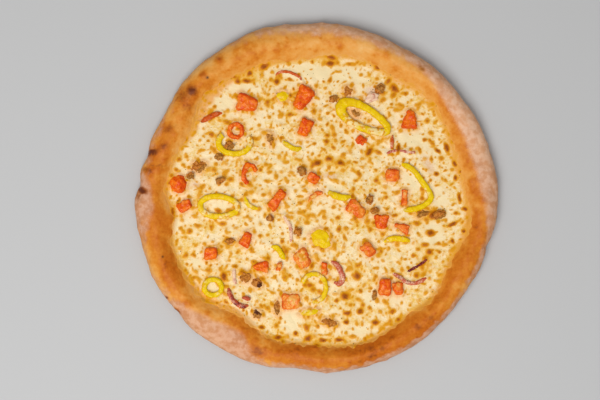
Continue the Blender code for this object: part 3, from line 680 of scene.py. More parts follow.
def makeCheese():
    cells = cheeseLook["cells"]
    share, turn = discGrid(cells)
    degrees = np.degrees(turn)
    wall = wallRadius(degrees)
    ring = polar(wall, turn, np.zeros_like(wall))
    film = np.clip(2.3 + 2.6 * noiseOver(ring, 13, 7.0) + 2.2 * noiseOver(ring, 4.5, 2.0), 0.4, 6.0)
    radius = share**0.985 * (wall + film)
    beyond = radius - wall
    flat = polar(radius, turn, np.zeros_like(radius))
    x, y = flat[:, 0] + middle[0], flat[:, 1] + middle[1]
    inside = np.clip(radius / (wall - 0.4), 0, 1)
    blister = np.abs(noiseOver(flat + np.array((0, 0, melt["blisterSpacing"])), melt["blisterSpacing"]))
    swell = noiseOver(flat, melt["swellSpacing"]) * melt["swell"] + (blister * 2 - 0.5) * melt["blister"]
    height = melt["height"] + (melt["edge"] - melt["height"]) * inside**4 + (1 - inside**8) * swell
    pool = poolAt(x, y)
    wanderX = 0.6 * noiseOver(flat, 2.2, 20.0) + 0.5 * noiseOver(flat, 6.5, 40.0)
    wanderY = 0.6 * noiseOver(flat, 2.2, 60.0) + 0.5 * noiseOver(flat, 6.5, 80.0)
    toast, raised, halo = spotField(x + wanderX, y + wanderY, chooseSpots())
    curd = cloudOver(flat, 3.2, 11.0, 3)
    height += (0.26 * curd + 0.16 * np.abs(noiseOver(flat, 1.9, 5.0))) * (1 - 0.75 * pool) + raised * 0.9
    pink = np.max([np.exp(-ovalAway(x, y, across, down, long * pixel, wide * pixel, lean))
                   for across, down, long, wide, lean in cheeseLook["pink"]], axis=0)
    rise, juice = besideToppings(x, y)
    height += rise * (1.25 + 0.7 * curd)
    # Beyond the wall the cheese is a thin film that climbs the crust and then dips into it.
    climb = np.full_like(x, cheeseLook["filmLevel"])
    for i in np.nonzero(beyond > -0.8)[0]:
        climb[i] = max(cheeseLook["filmLeast"], heightOn(crustTree, x[i], y[i], cheeseLook["filmLevel"]))
    past = np.clip(beyond / film, 0, 1)
    blend = ramped(-3.2, 0.4, beyond)
    over = climb + 0.6 * (1 - past) ** 0.7 - 0.12 + raised * 0.5 * (1 - past)
    height = np.where(share > 0.999, climb - 0.4, height * (1 - blend) + over * blend)
    # The outer row of the square grid, and the rows below it, down to the underside.
    side = cells + 1
    edge = list(range(side)) + [cells + side * j for j in range(1, side)]
    edge += [side * cells + i for i in range(cells - 1, -1, -1)] + [side * j for j in range(cells - 1, 0, -1)]
    skirt = [polar(wall[edge] - inset, turn[edge], np.full(len(edge), level)) + middle
             for inset, level in cheeseLook["skirt"]]
    start = len(x)
    places = np.vstack((np.column_stack((x, y, height)), *skirt, [(middle[0], middle[1], cheeseLook["under"])]))
    starts = [side * j + i for j in range(cells) for i in range(cells)]
    faces = [(a, a + 1, a + side + 1, a + side) for a in starts]
    rows = [edge] + [range(start + r * len(edge), start + (r + 1) * len(edge)) for r in range(len(skirt))]
    faces += ringFaces(rows)
    faces += [(rows[-1][(i + 1) % len(edge)], rows[-1][i], len(places) - 1) for i in range(len(edge))]
    mesh = meshOf(places, faces)
    oil = 0.32 + 0.42 * cloudOver(flat, 15, 31.0, 2) + 0.2 * curd + 0.55 * ramped(-4, 2, beyond) - 0.55 * pool
    golden = lobes(degrees, cheeseLook["goldenEdge"]) * (1 + 0.5 * cloudOver(flat, 6, 51.0, 2))
    looks = {"toast": toast * (1 - 0.2 * past), "halo": halo, "oil": np.clip(oil, 0, 1), "pool": pool,
             "juice": juice * (1 - toast), "pink": pink, "edge": ramped(-3.5, 1.8, beyond + golden)}
    store(mesh, **{name: np.append(values, np.zeros(len(places) - start)) for name, values in looks.items()})
    return mesh


def cheeseMaterial():
    material, tree, shader = newMaterial("cheeseMelted")
    toast, oil, pool, juice = measured(tree, "toast", "oil", "pool", "juice")
    edge, halo, pink = measured(tree, "edge", "halo", "pink")
    soft, curd = ragged(tree, 1, 230, 4, 0.6), ragged(tree, 1.5, 620, 3, 0.6)
    butter = eased(tree, plus(tree, oil, plus(tree, times(tree, soft, 1.3), curd)), 0.1, 0.95)
    warm = eased(tree, plus(tree, halo, times(tree, soft, 0.9)), 0.15, 1.05)
    base = mixed(tree, butter, tone(242, 219, 174), tone(231, 189, 92))
    for mask, colour, most in (
            (warm, (231, 176, 54), 0.8), (pool, (237, 216, 166), 0.7), (pink, (222, 182, 160), 0.6),
            (juice, (234, 156, 72), 0.55), (edge, (224, 150, 52), 0.8)):
        base = mixed(tree, mask, base, tone(*colour), most)
    freckle = times(tree, eased(tree, cloud(tree, 950, 4, 0.7), 0.60, 0.78), maths(tree, "SUBTRACT", 1.0, pool))
    sockets = {"Heat": plus(tree, toast, times(tree, freckle, 0.16)), "Bare": base, "Golden": tone(220, 151, 10),
               "Brown": tone(188, 102, 0), "Scorched": tone(104, 44, 6), "Grain": 1300, "Ragged": 0.26}
    out = addNode(tree, "ShaderNodeGroup", sockets, node_tree=toasting).outputs
    fine = plus(tree, cloud(tree, 700, 4, 0.6), times(tree, out["Mask"], 0.5))
    finishMaterial(tree, shader, out["Color"], spread(tree, out["Mask"], 0.28, 0.5), 0.13, fine, 0.5, 0.6)
    return material


cheesePiece = addPiece("cheeseMelted", makeCheese(), cheeseMaterial())
print("pizza: cheese", len(cheesePiece.data.polygons), "faces")


# Toppings: one piece for each kind, from the CAD's shapes or the same paths.
def softCopy(name, voxel, passes):
    # A CAD node's own shape, remeshed finely and rounded.
    shape = bmesh.new()
    shape.from_mesh(nodes[name].data)
    bmesh.ops.remove_doubles(shape, verts=shape.verts, dist=0.02 * mm)
    mesh = bpy.data.meshes.new(name)
    shape.to_mesh(mesh)
    shape.free()
    piece = linked("soft", mesh)
    remesh = piece.modifiers.new("remesh", "REMESH")
    remesh.mode = "VOXEL"
    remesh.voxel_size = voxel * mm
    smooth = piece.modifiers.new("smooth", "SMOOTH")
    smooth.factor = 0.5
    smooth.iterations = passes
    return evaluatedMesh(piece)


def joined(meshes):
    shape, owner = bmesh.new(), []
    for i, mesh in enumerate(meshes):
        shape.from_mesh(mesh)
        owner += [i] * len(mesh.vertices)
    whole = bpy.data.meshes.new("joined")
    shape.to_mesh(whole)
    shape.free()
    return whole, np.array(owner)


cheeseLevel = 11  # mm, where a ray onto the CAD's cheese misses it


def lumpMesh(x, y, length, wide, rise, turn, rough, seed):
    bpy.ops.mesh.primitive_ico_sphere_add(subdivisions=4, radius=0.5)
    lump = bpy.context.active_object
    mesh = lump.data.copy()
    bpy.data.objects.remove(lump, do_unlink=True)
    places = placesOf(mesh) * mm
    grow = 1 + rough * noiseOver(places * 3, 1.0, seed * 7.3)
    tall = np.where(places[:, 2] > 0, rise * 2, 3.0)
    dx, dy = turned(places[:, 0] * length * grow, places[:, 1] * wide * grow, turn)
    level = heightOn(cadCheese, x, y, cheeseLevel)
    setPlaces(mesh, np.column_stack((dx + x, dy + y, places[:, 2] * tall * grow + level)))
    return mesh


# Places in the picture where the cheese has run over a topping: across, down, radius in mm, amount.
overrun = (
    (351, 121, 5.5, 1.2), (345, 116, 3, 0.6), (362, 127, 2.5, 0.9), (354, 123, 5, 1.2), (362, 127, 3, 0.7),
    (374, 132, 5, 1.2), (381, 134, 4, 0.9), (341, 114, 3, 0.3), (205, 212, 3.5, 0.7), (203, 199, 3, 0.35),
    (215, 214, 4, 0.4), (313, 198, 5, 0.6), (291, 300, 5, 0.7), (297, 306, 4, 0.5), (323, 285, 3, 0.6),
    (310, 296, 4, 0.6), (304, 258, 3.5, 0.4), (279, 266, 3, 0.5), (355, 203, 3, 0.4), (371, 247, 3, 0.3),
    (404, 194, 3, 0.5), (246, 178, 3, 0.3), (268, 270, 3, 0.4), (310, 312, 5, 0.5), (232, 131, 1.6, 0.9),
    (301, 90, 3, 0.2), (204, 286, 2, 0.5), (230, 270, 3, 0.5), (398, 228, 3, 0.3), (402, 238, 3, 0.3),
    (280, 245, 3, 0.4), (274, 205, 3, 0.3), (208, 211, 4, 1.0), (240, 206, 5.5, 1.1), (199, 207, 2.5, 0.4),
    (222, 219, 4, 0.8), (251, 141, 5, 1.0), (218, 136, 3, 0.6), (312, 270, 3, 0.4), (301, 277, 4.5, 0.9),
    (321, 273, 4.5, 0.9), (316, 299, 5, 1.0), (424, 193, 4, 0.9), (420, 197, 3, 0.6), (409, 165, 2.5, 0.4),
    (404, 160, 2, 0.4), (302, 256, 5, 0.9), (238, 206, 4, 0.8), (228, 217, 4, 0.6), (222, 196, 3, 0.3),
    (252, 205, 4, 0.6), (303, 286, 4, 0.5), (306, 309, 6, 0.6), (327, 300, 3, 0.4), (282, 144, 5, 0.5),
    (330, 194, 4, 0.4), (216, 140, 3, 0.4), (250, 138, 4, 0.5), (242, 150, 4, 0.3), (387, 241, 3, 0.5),
    (404, 211, 3, 0.4), (270, 250, 3, 0.5), (205, 282, 3, 0.5), (219, 293, 3, 0.4), (288, 152, 3, 0.5),
    (247, 168, 2.5, 0.5), (178, 190, 2.5, 0.4), (185, 203, 3, 0.5), (291, 94, 3, 0.4), (240, 108, 3, 0.4),
    (352, 213, 3, 0.5), (398, 181, 2, 0.5), (383, 290, 2.5, 0.4), (398, 284, 3, 0.5), (302, 265, 3, 0.4),
    (365, 250, 3, 0.4))


def finishTopping(mesh, owner, rough, spacing, veilFrom, veilTo, seed, tones=None):
    # Uneven skin, and how far each point stands above the cheese.
    places = placesOf(mesh)
    lift = rough * cloudOver(places, spacing, seed, 3) + 0.35 * rough * noiseOver(places, spacing * 0.3, seed)
    places = places + valuesOf(mesh, "normal") * lift[:, None]
    setPlaces(mesh, places)
    above = np.array([z - heightOn(cadCheese, x, y, 11.5) for x, y, z in places.tolist()])
    above += 1.1 * noiseOver(places, 3.0, seed + 5) + 0.5 * noiseOver(places, 1.2, seed + 6)
    veil = 1 - ramped(veilTo, veilFrom, above)
    wander = 1 + 0.8 * cloudOver(places, 3.0, seed + 8, 3)
    for across, down, size, amount in overrun:
        veil = np.maximum(veil, amount * fade(places, across, down, size) * wander)
    chance = random.Random(int(seed * 10))
    if tones is None:
        tones = [chance.random() for _ in range(int(owner.max()) + 1)]
    top = np.clip(valuesOf(mesh, "normal")[:, 2], 0, 1)
    store(mesh, veil=np.clip(veil, 0, 1), kind=np.array(tones)[owner], top=top)
    return places


def sideMask(tree, top, amount, scale, low, high):  # 1 on the sides of a topping, with a ragged edge
    return eased(tree, plus(tree, maths(tree, "SUBTRACT", 1.0, top), ragged(tree, amount, scale)), low, high)


tomatoLook = {
    "voxel": 0.62, "passes": 9, "rough": 0.95, "roughSpacing": 4.6, "veil": (1.5, -0.2), "seed": 3.1,
    # x, y, length, width and height in mm, turn
    "small": ((37.1, 48.4, 8.2, 7.0, 2.8, -10), (-31.2, -57.4, 7.2, 4.6, 2.8, 70)),
    # how pale each block is, from 0 for deep red, with the rest and the small ones below
    "blocks": (
        0.4, 0.15, 0.1, 0.35, 0.3, 0.5, 0.35, 0.35, 0.3, 0.7, 0.6, 0.3, 0.55, 0.6, 0.3, 0.45, 0.95, 0.3, 1.0,
        0.4, 0.5),
    "others": {"tomato_half": 0.25, "tomato_slice": 0.4, "tomato_band_1": 0.35, "tomato_band_2": 0.8},
    "smallPale": (0.3, 0.6),
}


def tomatoMaterial():
    material, tree, shader = newMaterial("tomatoBaked")
    veil, kind, skin, top = measured(tree, "veil", "kind", "skin", "top")
    flesh = mottled(tree, tone(240, 118, 14), tone(220, 72, 2), 260)
    pale = mottled(tree, tone(240, 156, 62), tone(232, 104, 14), 380)
    colour = mixed(tree, eased(tree, plus(tree, kind, ragged(tree, 1.2, 170, 2)), 0.25, 0.9), flesh, pale)
    colour = mixed(tree, skin, colour, tone(212, 60, 6), 0.6)
    # The sides of each piece are darker than its top: painted shade.
    colour = mixed(tree, sideMask(tree, top, 0.9, 600, 0.45, 1.25), colour, tone(200, 70, 6), 0.5)
    colour = covered(tree, veil, colour, tone(236, 184, 98))
    finishMaterial(tree, shader, colour, 0.24, 0.16, cloud(tree, 800, 4, 0.6), 0.35, 0.4)
    return material


def makeTomatoes(material):
    names = [name for name in nodes if name.startswith("tomato")]
    meshes = [softCopy(name, tomatoLook["voxel"], tomatoLook["passes"]) for name in names]
    meshes += [lumpMesh(*sizes, 0.4, i + 1) for i, sizes in enumerate(tomatoLook["small"])]
    mesh, owner = joined(meshes)
    blocks, others = tomatoLook["blocks"], tomatoLook["others"]
    tones = [others[name] if name in others else blocks[int(name[-2:]) - 1] for name in names]
    tones += tomatoLook["smallPale"]
    finishTopping(mesh, owner, tomatoLook["rough"], tomatoLook["roughSpacing"], *tomatoLook["veil"],
                  tomatoLook["seed"], tones)
    chance = random.Random(8)
    turns = [chance.uniform(0, 2 * math.pi) for _ in meshes]
    sides = np.array([(math.cos(t), math.sin(t), 0.35) for t in turns])
    store(mesh, skin=ramped(0.45, 0.8, np.sum(valuesOf(mesh, "normal") * sides[owner], axis=1)))
    return addPiece("tomatoDiced", mesh, material), names


# Strips and rings follow a path: the same middle lines as the CAD's, in mm.
pepperLook = {
    "rough": 0.45, "roughSize": 330.0, "rounding": 0.36, "width": 2.4,
    # x, y, long and short radius, turn, first and last degree, half thickness, then how much thicker and
    # wider one end is
    "rings": (
        (39.9, 66.8, 22.0, 8.2, -28, 0, 360, 2.5, 0.5, 0.2),
        (-68.8, 46.2, 13.3, 9.2, 0, 137, 391, 2.0, 0.1, 0.0),
        (-81.6, -7.1, 15.8, 8.4, -3, 0, 360, 2.1, 0.0, 0.1),
        (-86.7, -74.8, 7.2, 6.5, 0, 0, 360, 1.8, 0.1, 0.0),
        (-2.5, -75.3, 10.3, 11.6, 0, -95, 160, 1.8, 0.0, 0.0)),
    # the middle line and half the thickness
    "strips": (
        (((-29, 47.6), (-23.8, 43.9), (-17.7, 40.9), (-12.5, 42)), 1.8),
        (((-59.7, 1.2), (-58.8, -3.4), (-55.2, -7.1), (-48.8, -9.3)), 1.6),
        (((9.8, 5.3), (15.3, 2.1), (22.6, 0.3), (28.6, 1.2)), 2.4),
        (((70.8, 28.5), (77.2, 25.8), (82.7, 21.2), (90.9, 10.2), (95.3, 2.9), (94.5, -2.5), (88.1, -7.1),
         (80.8, -9.4), (72.7, -10.4)), 2.0),
        (((56.3, -37), (63.6, -33.9), (71.7, -34.4), (78.1, -36.1)), 2.1),
        (((-38.3, -40.3), (-32.7, -42.1), (-29.5, -47.4), (-26.5, -51.8)), 1.9)),
}
onionLook = {
    "rough": 0.35, "roughSize": 600.0, "rounding": 0.4, "width": 2.2,
    "slivers": (
        (((63.7, -63.2), (69.3, -66.2), (74.9, -70.2), (81.3, -71.4), (86.9, -69.8), (91.8, -66.6)), 1.5),
        (((75.7, -61.8), (84.6, -57), (92.6, -51.3)), 1.1),
        (((12.4, -53.2), (17.3, -56.4), (20.3, -61.8), (21.8, -67.5), (19.3, -71.6), (14.4, -70.8)), 2.1),
        (((-73.7, -75.4), (-72.3, -81.5), (-68.2, -87.2), (-62.4, -90.5), (-57, -90)), 1.8),
        (((-69, -58.5), (-69.3, -64), (-68.8, -69), (-67.6, -73)), 1.4),
        (((-27.9, -14.3), (-25.1, -18.9), (-21.7, -25.2), (-21.3, -37)), 1.3),
        (((-97, 63.5), (-91, 66.8), (-85, 69.8), (-79.5, 71.2)), 2.0),
        (((-34.3, 102.4), (-30.5, 105.4), (-23.8, 105.4), (-18.5, 103.6), (-14, 101), (-12.9, 97.9)), 1.1),
        (((58.4, 36.7), (62.4, 38.7), (68.9, 40), (75.3, 38.6), (83.3, 38)), 1.1)),
    # how coloured, how dark and how much redder than purple each sliver is, and then the three small ones
    "purple": (0.75, 0.8, 0.8, 0.8, 0.3, 0.15, 0.95, 0.75, 0.5, 0.75, 0.12, 0.8),
    "dark": (0.35, 0.95, 0.15, 0.5, 0.05, 0.0, 0.3, 0.1, 0.15, 0.3, 0.0, 0.3),
    "red": (0.65, 0.6, 0.55, 0.75, 0.2, 0.3, 1.0, 1.0, 0.4, 1.0, 0.3, 0.6),
    "small": ((63.1, 47.0, 11.0, 2.8, 1.8, 88), (46.0, 83.8, 11.0, 7.6, 1.8, 30),
              (-58.4, -84.0, 7.0, 3.6, 2.2, -15)),
}


def smoothLine(points, spacing):
    points = [Vector(point) for point in points]
    ends = [2 * points[0] - points[1], *points, 2 * points[-1] - points[-2]]
    line = []
    for before, start, end, after in zip(ends, ends[1:], ends[2:], ends[3:]):
        steps = max(1, round((end - start).length / spacing))
        for i in range(steps):
            t = i / steps
            bend = (2 * before - 5 * start + 4 * end - after) * t**2
            bend = (end - before) * t + bend + (3 * start - before - 3 * end + after) * t**3
            line.append((2 * start + bend) / 2)
    return [*line, points[-1]]


def ringPath(x, y, longRadius, shortRadius, turn, first, last, half, thicker, wider):
    steps, closed = 60, last - first == 360
    line, thick = [], []
    for i in range(steps if closed else steps + 1):
        angle = math.radians(first + (last - first) * i / steps)
        far = -math.cos(angle)
        arm = Vector((longRadius * math.cos(angle), shortRadius * (1 + wider * far) * math.sin(angle)))
        arm.rotate(Matrix.Rotation(math.radians(turn), 2))
        line.append(Vector((x, y)) + arm)
        thick.append(half * (1 + thicker * max(0.0, far) ** 2))
    return line, thick, closed


def stripPath(points, half, spacing=0.8):
    line = smoothLine(points, spacing)
    last = len(line) - 1
    thick = [half * min(1.0, 0.45 + 0.55 * min(i, last - i) * spacing / (2.2 * half)) for i in range(last + 1)]
    return line, thick, False


def pathCurve(name, paths):
    # Every path of one kind in a curve object, laid on the cheese; the point's radius is its half thickness.
    curve = bpy.data.curves.new(name, "CURVE")
    curve.dimensions = "3D"
    for line, thick, closed in paths:
        spline = curve.splines.new("POLY")
        spline.points.add(len(line) - 1)
        spline.use_cyclic_u = closed
        for point, place, half in zip(spline.points, line, thick):
            level = heightOn(cadCheese, place.x, place.y, cheeseLevel) + 0.3 + 0.45 * half
            point.co = (place.x * mm, place.y * mm, level * mm, 1)
            point.radius = half
    return linked(name, curve)


def stripTree():
    # Geometry Nodes: a rounded strip swept along each path, with an uneven skin.
    tree, given, result = newGroup("softStrip", "GeometryNodeTree", (
        ("Geometry", "Geometry"), ("Unit", "Float", mm), ("Rounding", "Float", 0.42), ("Width", "Float", 2.0),
        ("Step", "Float", 0.55 * mm), ("Rough", "Float", 0.2), ("Rough Size", "Float", 480.0),
        ("Material", "Material")), (("Geometry", "Geometry"),))

    def add(kind, sockets=None, **settings):
        return addNode(tree, kind, sockets, **settings).outputs[0]

    line = add("GeometryNodeResampleCurve", {"Curve": given["Geometry"], "Length": given["Step"]}, mode="LENGTH")
    upright = add("GeometryNodeSetCurveNormal", {"Curve": line}, mode="Z_UP")
    wide, tall = times(tree, given["Unit"], given["Width"]), times(tree, given["Unit"], 2.0)
    profile = add("GeometryNodeCurvePrimitiveQuadrilateral", {"Width": wide, "Height": tall}, mode="RECTANGLE")
    corner = times(tree, tall, given["Rounding"])
    sockets = {"Curve": profile, "Radius": corner, "Count": 3, "Limit Radius": True}
    soft = add("GeometryNodeFilletCurve", sockets, mode="POLY")
    even = add("GeometryNodeResampleCurve", {"Curve": soft, "Count": 20}, mode="COUNT")
    size = add("GeometryNodeInputRadius")
    sockets = {"Curve": upright, "Profile Curve": even, "Scale": size, "Fill Caps": True}
    tube = add("GeometryNodeCurveToMesh", sockets)
    sockets = {"Vector": add("GeometryNodeInputPosition"), "Scale": given["Rough Size"], "Detail": 3.0}
    grain = addNode(tree, "ShaderNodeTexNoise", sockets).outputs["Fac"]
    push = times(tree, maths(tree, "SUBTRACT", grain, 0.5), given["Rough"])
    push = times(tree, push, times(tree, given["Unit"], 4.0))
    offset = add("ShaderNodeVectorMath", {0: add("GeometryNodeInputNormal"), "Scale": push}, operation="SCALE")
    uneven = add("GeometryNodeSetPosition", {"Geometry": tube, "Offset": offset})
    real = add("GeometryNodeRealizeInstances", {"Geometry": uneven})
    dressed = add("GeometryNodeSetMaterial", {"Geometry": real, "Material": given["Material"]})
    fill(tree, result, {"Geometry": dressed})
    return tree


stripNodes = stripTree()


def withNodes(piece, tree, values):
    # Runs a Geometry Nodes tree on the piece and gives back the plain mesh.
    modifier = piece.modifiers.new("nodes", "NODES")
    modifier.node_group = tree
    for item in tree.interface.items_tree:
        if item.in_out == "INPUT" and item.name in values:
            modifier[item.identifier] = values[item.name]
    return evaluatedMesh(piece)


def stripMesh(name, paths, look, material):
    return withNodes(pathCurve(name, paths), stripNodes, {
        "Rough": look["rough"], "Rough Size": look["roughSize"], "Rounding": look["rounding"],
        "Width": look["width"], "Material": material})


def islands(mesh):
    # Which separate strip each vertex belongs to.
    parent = list(range(len(mesh.vertices)))

    def root(i):
        while parent[i] != i:
            parent[i] = parent[parent[i]]
            i = parent[i]
        return i

    for edge in mesh.edges:
        a, b = root(edge.vertices[0]), root(edge.vertices[1])
        if a != b:
            parent[max(a, b)] = min(a, b)
    roots = [root(i) for i in range(len(parent))]
    order = {key: i for i, key in enumerate(sorted(set(roots)))}
    return np.array([order[key] for key in roots])


def pepperMaterial():
    material, tree, shader = newMaterial("pepperYellow")
    veil, kind, top = measured(tree, "veil", "kind", "top")
    colour = mottled(tree, tone(236, 198, 4), tone(226, 180, 0), 330)
    olive = eased(tree, plus(tree, kind, ragged(tree, 1, 150, 2)), 0.45, 1.2)
    colour = mixed(tree, olive, colour, tone(216, 188, 2), 0.4)
    colour = mixed(tree, sideMask(tree, top, 0.6, 700, 0.5, 1.2), colour, tone(210, 156, 0), 0.5)
    colour = covered(tree, veil, colour, tone(240, 212, 148))
    finishMaterial(tree, shader, colour, 0.24, 0.12, cloud(tree, 900, 3, 0.6), 0.3, 0.3)
    return material


def makePeppers(material):
    names = [name for name in nodes if name.startswith("pepper")]
    paths = [ringPath(*sizes) for sizes in pepperLook["rings"]]
    paths += [stripPath(points, half) for points, half in pepperLook["strips"]]
    strips = stripMesh("pepperPaths", paths, pepperLook, material)
    ends = [softCopy(name, 0.6, 3) for name in names if name.startswith("pepper_end")]
    mesh, _ = joined([strips, *ends])
    finishTopping(mesh, islands(mesh), 0.3, 3.5, 1.7, -0.3, 6.4)
    return addPiece("pepperSliced", mesh, material), names


def onionMaterial():
    material, tree, shader = newMaterial("onionRed")
    veil, purple, dark, red = measured(tree, "veil", "purple", "dark", "red")
    streak = ragged(tree, 1, 900, 3, 0.6)
    skin = mixed(tree, red, tone(184, 92, 84), tone(202, 84, 12))
    purple = eased(tree, plus(tree, purple, times(tree, streak, 1.6)), 0.1, 0.8)
    colour = mixed(tree, purple, tone(238, 200, 166), skin)
    colour = mixed(tree, eased(tree, plus(tree, dark, streak), 0.35, 1.0), colour, tone(110, 24, 28))
    colour = covered(tree, veil, colour, tone(236, 200, 146))
    finishMaterial(tree, shader, colour, 0.3, 0.18, cloud(tree, 1100, 3, 0.6), 0.3, 0.3)
    return material


def makeOnions(material):
    names = [name for name in nodes if name.startswith("onion")]
    paths = [stripPath(points, half) for points, half in onionLook["slivers"]]
    strips = stripMesh("onionPaths", paths, onionLook, material)
    small = [lumpMesh(*sizes, 0.4, i + 21) for i, sizes in enumerate(onionLook["small"])]
    mesh, _ = joined([strips, *small])
    owner = islands(mesh)
    places = finishTopping(mesh, owner, 0.2, 3.0, 0.7, -0.5, 9.2)
    purple, dark, red = (np.array(onionLook[name])[owner] for name in ("purple", "dark", "red"))
    purple, dark = purple + 0.5 * cloudOver(places, 5, 4.0, 2), dark + 0.6 * cloudOver(places, 4, 8.0, 2)
    store(mesh, purple=purple, dark=dark, red=red)
    return addPiece("onionSlivers", mesh, material), names


crumbleLook = {
    "voxel": 0.55, "passes": 2, "rough": 1.1, "roughSpacing": 2.0,
    "grains": {"Spacing": 1.2 * mm, "Size": 0.6 * mm, "Seed": 3, "Flatness": 0.8, "Density": 300000.0,
               "Keep Base": True},
    # the crumbs that are nearly black: across, down, radius in mm
    "burnt": ((260, 285, 2.6), (257, 312, 2.4), (278, 256, 2.6), (185, 178, 2.0), (416, 210, 2.0),
              (353, 104, 2.0)),
    # x, y, length, width and height in mm, turn
    "small": (
        (14.2, 82.6, 6.8, 5.0, 2.2, 20), (52.7, 91.0, 8.0, 7.0, 2.6, 40), (44.4, -1.6, 7.8, 6.2, 2.8, 70),
        (49.0, -10.6, 7.5, 4.8, 2.4, 10), (-12.6, 22.8, 7.2, 6.6, 2.8, -40),
        (102.7, -13.8, 10.5, 6.2, 2.2, 15), (-73.2, 43.4, 8.0, 5.6, 2.0, 0),
        (-105.4, 18.8, 6.0, 5.2, 2.4, -20), (-81.6, 33.9, 6.6, 5.4, 2.4, 0), (-81.1, 14.4, 7.6, 5.6, 2.4, 15),
        (-39.2, -17.1, 6.0, 4.6, 2.2, 10), (-15.4, -28.2, 6.8, 6.0, 2.6, -50),
        (48.4, -81.0, 8.0, 3.4, 1.8, 84), (-72.5, -36.1, 7.6, 4.4, 1.8, 12)),
}


def crumbleMaterial():
    material, tree, shader = newMaterial("crumbleBrowned")
    veil, kind, burnt = measured(tree, "veil", "kind", "burnt")
    warm = mottled(tree, tone(206, 132, 44), tone(166, 90, 18), 520)
    grey = mottled(tree, tone(192, 130, 52), tone(146, 92, 26), 520)
    colour = mixed(tree, eased(tree, kind, 0.4, 0.9), warm, grey)
    burnt = plus(tree, cloud(tree, 380, 4, 0.65), times(tree, burnt, 0.4))
    colour = mixed(tree, eased(tree, burnt, 0.58, 0.76), colour, tone(84, 36, 8))
    colour = covered(tree, veil, colour, tone(228, 178, 98))
    finishMaterial(tree, shader, colour, 0.5, 0.25, cloud(tree, 1100, 4, 0.65), 0.5, 0.4)
    return material


def grainTree():
    # Geometry Nodes: small grains set all over a lump's upper side.
    tree, given, result = newGroup("grains", "GeometryNodeTree", (
        ("Geometry", "Geometry"), ("Spacing", "Float", 1.2 * mm), ("Density", "Float", 200000.0),
        ("Size", "Float", 0.7 * mm), ("Flatness", "Float", 0.8), ("Seed", "Int", 1), ("Keep Base", "Bool", True),
        ("Material", "Material")), (("Geometry", "Geometry"),))
    normal = addNode(tree, "GeometryNodeInputNormal").outputs[0]
    upward = addNode(tree, "ShaderNodeSeparateXYZ", {0: normal}).outputs["Z"]
    points = addNode(tree, "GeometryNodeDistributePointsOnFaces", {
        "Mesh": given["Geometry"], "Selection": maths(tree, "GREATER_THAN", upward, 0.25),
        "Distance Min": given["Spacing"], "Density Max": given["Density"], "Seed": given["Seed"],
    }, distribute_method="POISSON").outputs
    grain = addNode(tree, "GeometryNodeMeshIcoSphere", {"Radius": given["Size"], "Subdivisions": 2})
    least, most = (addNode(tree, "ShaderNodeCombineXYZ", {"X": x, "Y": y, "Z": given["Flatness"]}).outputs[0]
                   for x, y in ((0.45, 0.45), (1.25, 1.05)))
    sockets = {0: least, 1: most, "Seed": given["Seed"]}
    size = addNode(tree, "FunctionNodeRandomValue", sockets, data_type="FLOAT_VECTOR").outputs[0]
    placed = addNode(tree, "GeometryNodeInstanceOnPoints", {
        "Points": points["Points"], "Instance": grain.outputs["Mesh"], "Rotation": points["Rotation"],
        "Scale": size})
    real = addNode(tree, "GeometryNodeRealizeInstances", {"Geometry": placed.outputs[0]})
    sockets = {"Switch": given["Keep Base"], "True": given["Geometry"]}
    base = addNode(tree, "GeometryNodeSwitch", sockets, input_type="GEOMETRY")
    both = addNode(tree, "GeometryNodeJoinGeometry", {"Geometry": real.outputs[0]})
    fill(tree, both, {0: base.outputs[0]})
    sockets = {"Geometry": both.outputs[0], "Material": given["Material"]}
    fill(tree, result, {"Geometry": addNode(tree, "GeometryNodeSetMaterial", sockets).outputs[0]})
    return tree


grainNodes = grainTree()


def makeCrumbles(material):
    names = [name for name in nodes if name.startswith("crumble")]
    meshes = [softCopy(name, crumbleLook["voxel"], crumbleLook["passes"]) for name in names]
    meshes += [lumpMesh(*sizes, 0.5, i + 41) for i, sizes in enumerate(crumbleLook["small"])]
    mesh, _ = joined(meshes)
    places = placesOf(mesh)
    lift = crumbleLook["rough"] * cloudOver(places, crumbleLook["roughSpacing"], 2.0)
    setPlaces(mesh, places + valuesOf(mesh, "normal") * lift[:, None])
    mesh = withNodes(linked("crumbleBase", mesh), grainNodes, {**crumbleLook["grains"], "Material": material})
    # Neighbouring grains take one of 24 tones.
    owner = np.array([int(abs(x * 0.13) + abs(y * 0.17)) % 24 for x, y, _ in placesOf(mesh).tolist()])
    places = finishTopping(mesh, owner, 0.12, 1.6, 1.2, -0.6, 12.7)
    store(mesh, burnt=np.max([fade(places, *crumb) for crumb in crumbleLook["burnt"]], axis=0))
    return addPiece("crumblesBrowned", mesh, material), names


fleckLook = {
    "Spacing": 4.5 * mm, "Size": 0.42 * mm, "Seed": 17, "Flatness": 0.35, "Density": 5200.0, "Keep Base": False}


def fleckMaterial():
    material, tree, shader = newMaterial("herbDried")
    colour = mottled(tree, tone(92, 96, 34), tone(122, 74, 24), 90)
    finishMaterial(tree, shader, colour, 0.6, 0.5, cloud(tree, 3000, 2), 0.3, 0.1)
    return material


def makeFlecks(material):
    base = linked("fleckBase", cheesePiece.data.copy())
    return addPiece("herbFlecks", withNodes(base, grainNodes, {**fleckLook, "Material": material}), material)


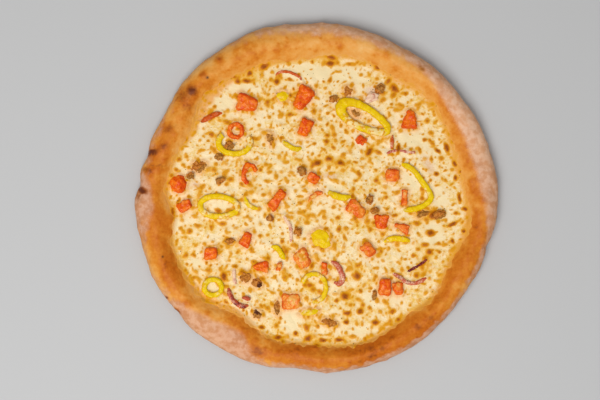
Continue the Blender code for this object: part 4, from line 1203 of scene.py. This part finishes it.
tomatoPiece, tomatoNames = makeTomatoes(tomatoMaterial())
print("pizza: tomato", len(tomatoPiece.data.polygons), "faces")
pepperPiece, pepperNames = makePeppers(pepperMaterial())
print("pizza: pepper", len(pepperPiece.data.polygons), "faces")
onionPiece, onionNames = makeOnions(onionMaterial())
print("pizza: onion", len(onionPiece.data.polygons), "faces")
crumblePiece, crumbleNames = makeCrumbles(crumbleMaterial())
print("pizza: crumbles", len(crumblePiece.data.polygons), "faces")
fleckPiece = makeFlecks(fleckMaterial())
print("pizza: flecks", len(fleckPiece.data.polygons), "faces")

# Camera, floor and light.
view = {"aim": (-13.9, -1.7), "level": 8, "height": 1100, "span": 600 * pixel, "sensor": 36}
floorLook = {"half": 3, "colour": (190, 190, 190), "rough": 0.9}
lights = {"window": ((-0.36, -0.54, 1.35), 0.8, 15.4), "fill": ((0.1, -0.1, 1.7), 1.4, 3.4)}  # place, size, watts
worldStrength = 0.38

cameraData = bpy.data.cameras.new("camera")
cameraData.sensor_width = view["sensor"]
cameraData.lens = view["sensor"] * (view["height"] - view["level"]) / view["span"]
camera = linked("camera", cameraData)
camera.location = Vector((*view["aim"], view["height"])) * mm
scene.camera = camera

floorMaterial, floorTree, floorShader = newMaterial("floorPlain")
fill(floorTree, floorShader, {"Base Color": tone(*floorLook["colour"]), "Roughness": floorLook["rough"]})
floorMesh = bpy.data.meshes.new("floor")
corners = [(x * floorLook["half"], y * floorLook["half"], 0) for x, y in ((-1, -1), (1, -1), (1, 1), (-1, 1))]
floorMesh.from_pydata(corners, [], [(0, 1, 2, 3)])
floorMesh.materials.append(floorMaterial)
floorPiece = linked("floor", floorMesh)

for name, (place, size, power) in lights.items():
    lamp = bpy.data.lights.new(name, "AREA")
    lamp.size, lamp.energy = size, power
    light = linked(name, lamp)
    light.location = place
    light.rotation_euler = (-Vector(place)).to_track_quat("-Z", "Y").to_euler()
world = bpy.data.worlds.new("studio")
world.use_nodes = True
fill(world.node_tree, world.node_tree.nodes["Background"], {"Color": (1, 1, 1, 1), "Strength": worldStrength})
scene.world = world
scene.view_settings.view_transform = "Standard"

for piece in (crustPiece, cheesePiece, tomatoPiece, pepperPiece, onionPiece, crumblePiece, fleckPiece):
    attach(piece, "root")
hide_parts("crust")
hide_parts("cheese")
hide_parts(*tomatoNames)
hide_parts(*pepperNames)
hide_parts(*onionNames)
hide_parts(*crumbleNames)
print("pizza: done")
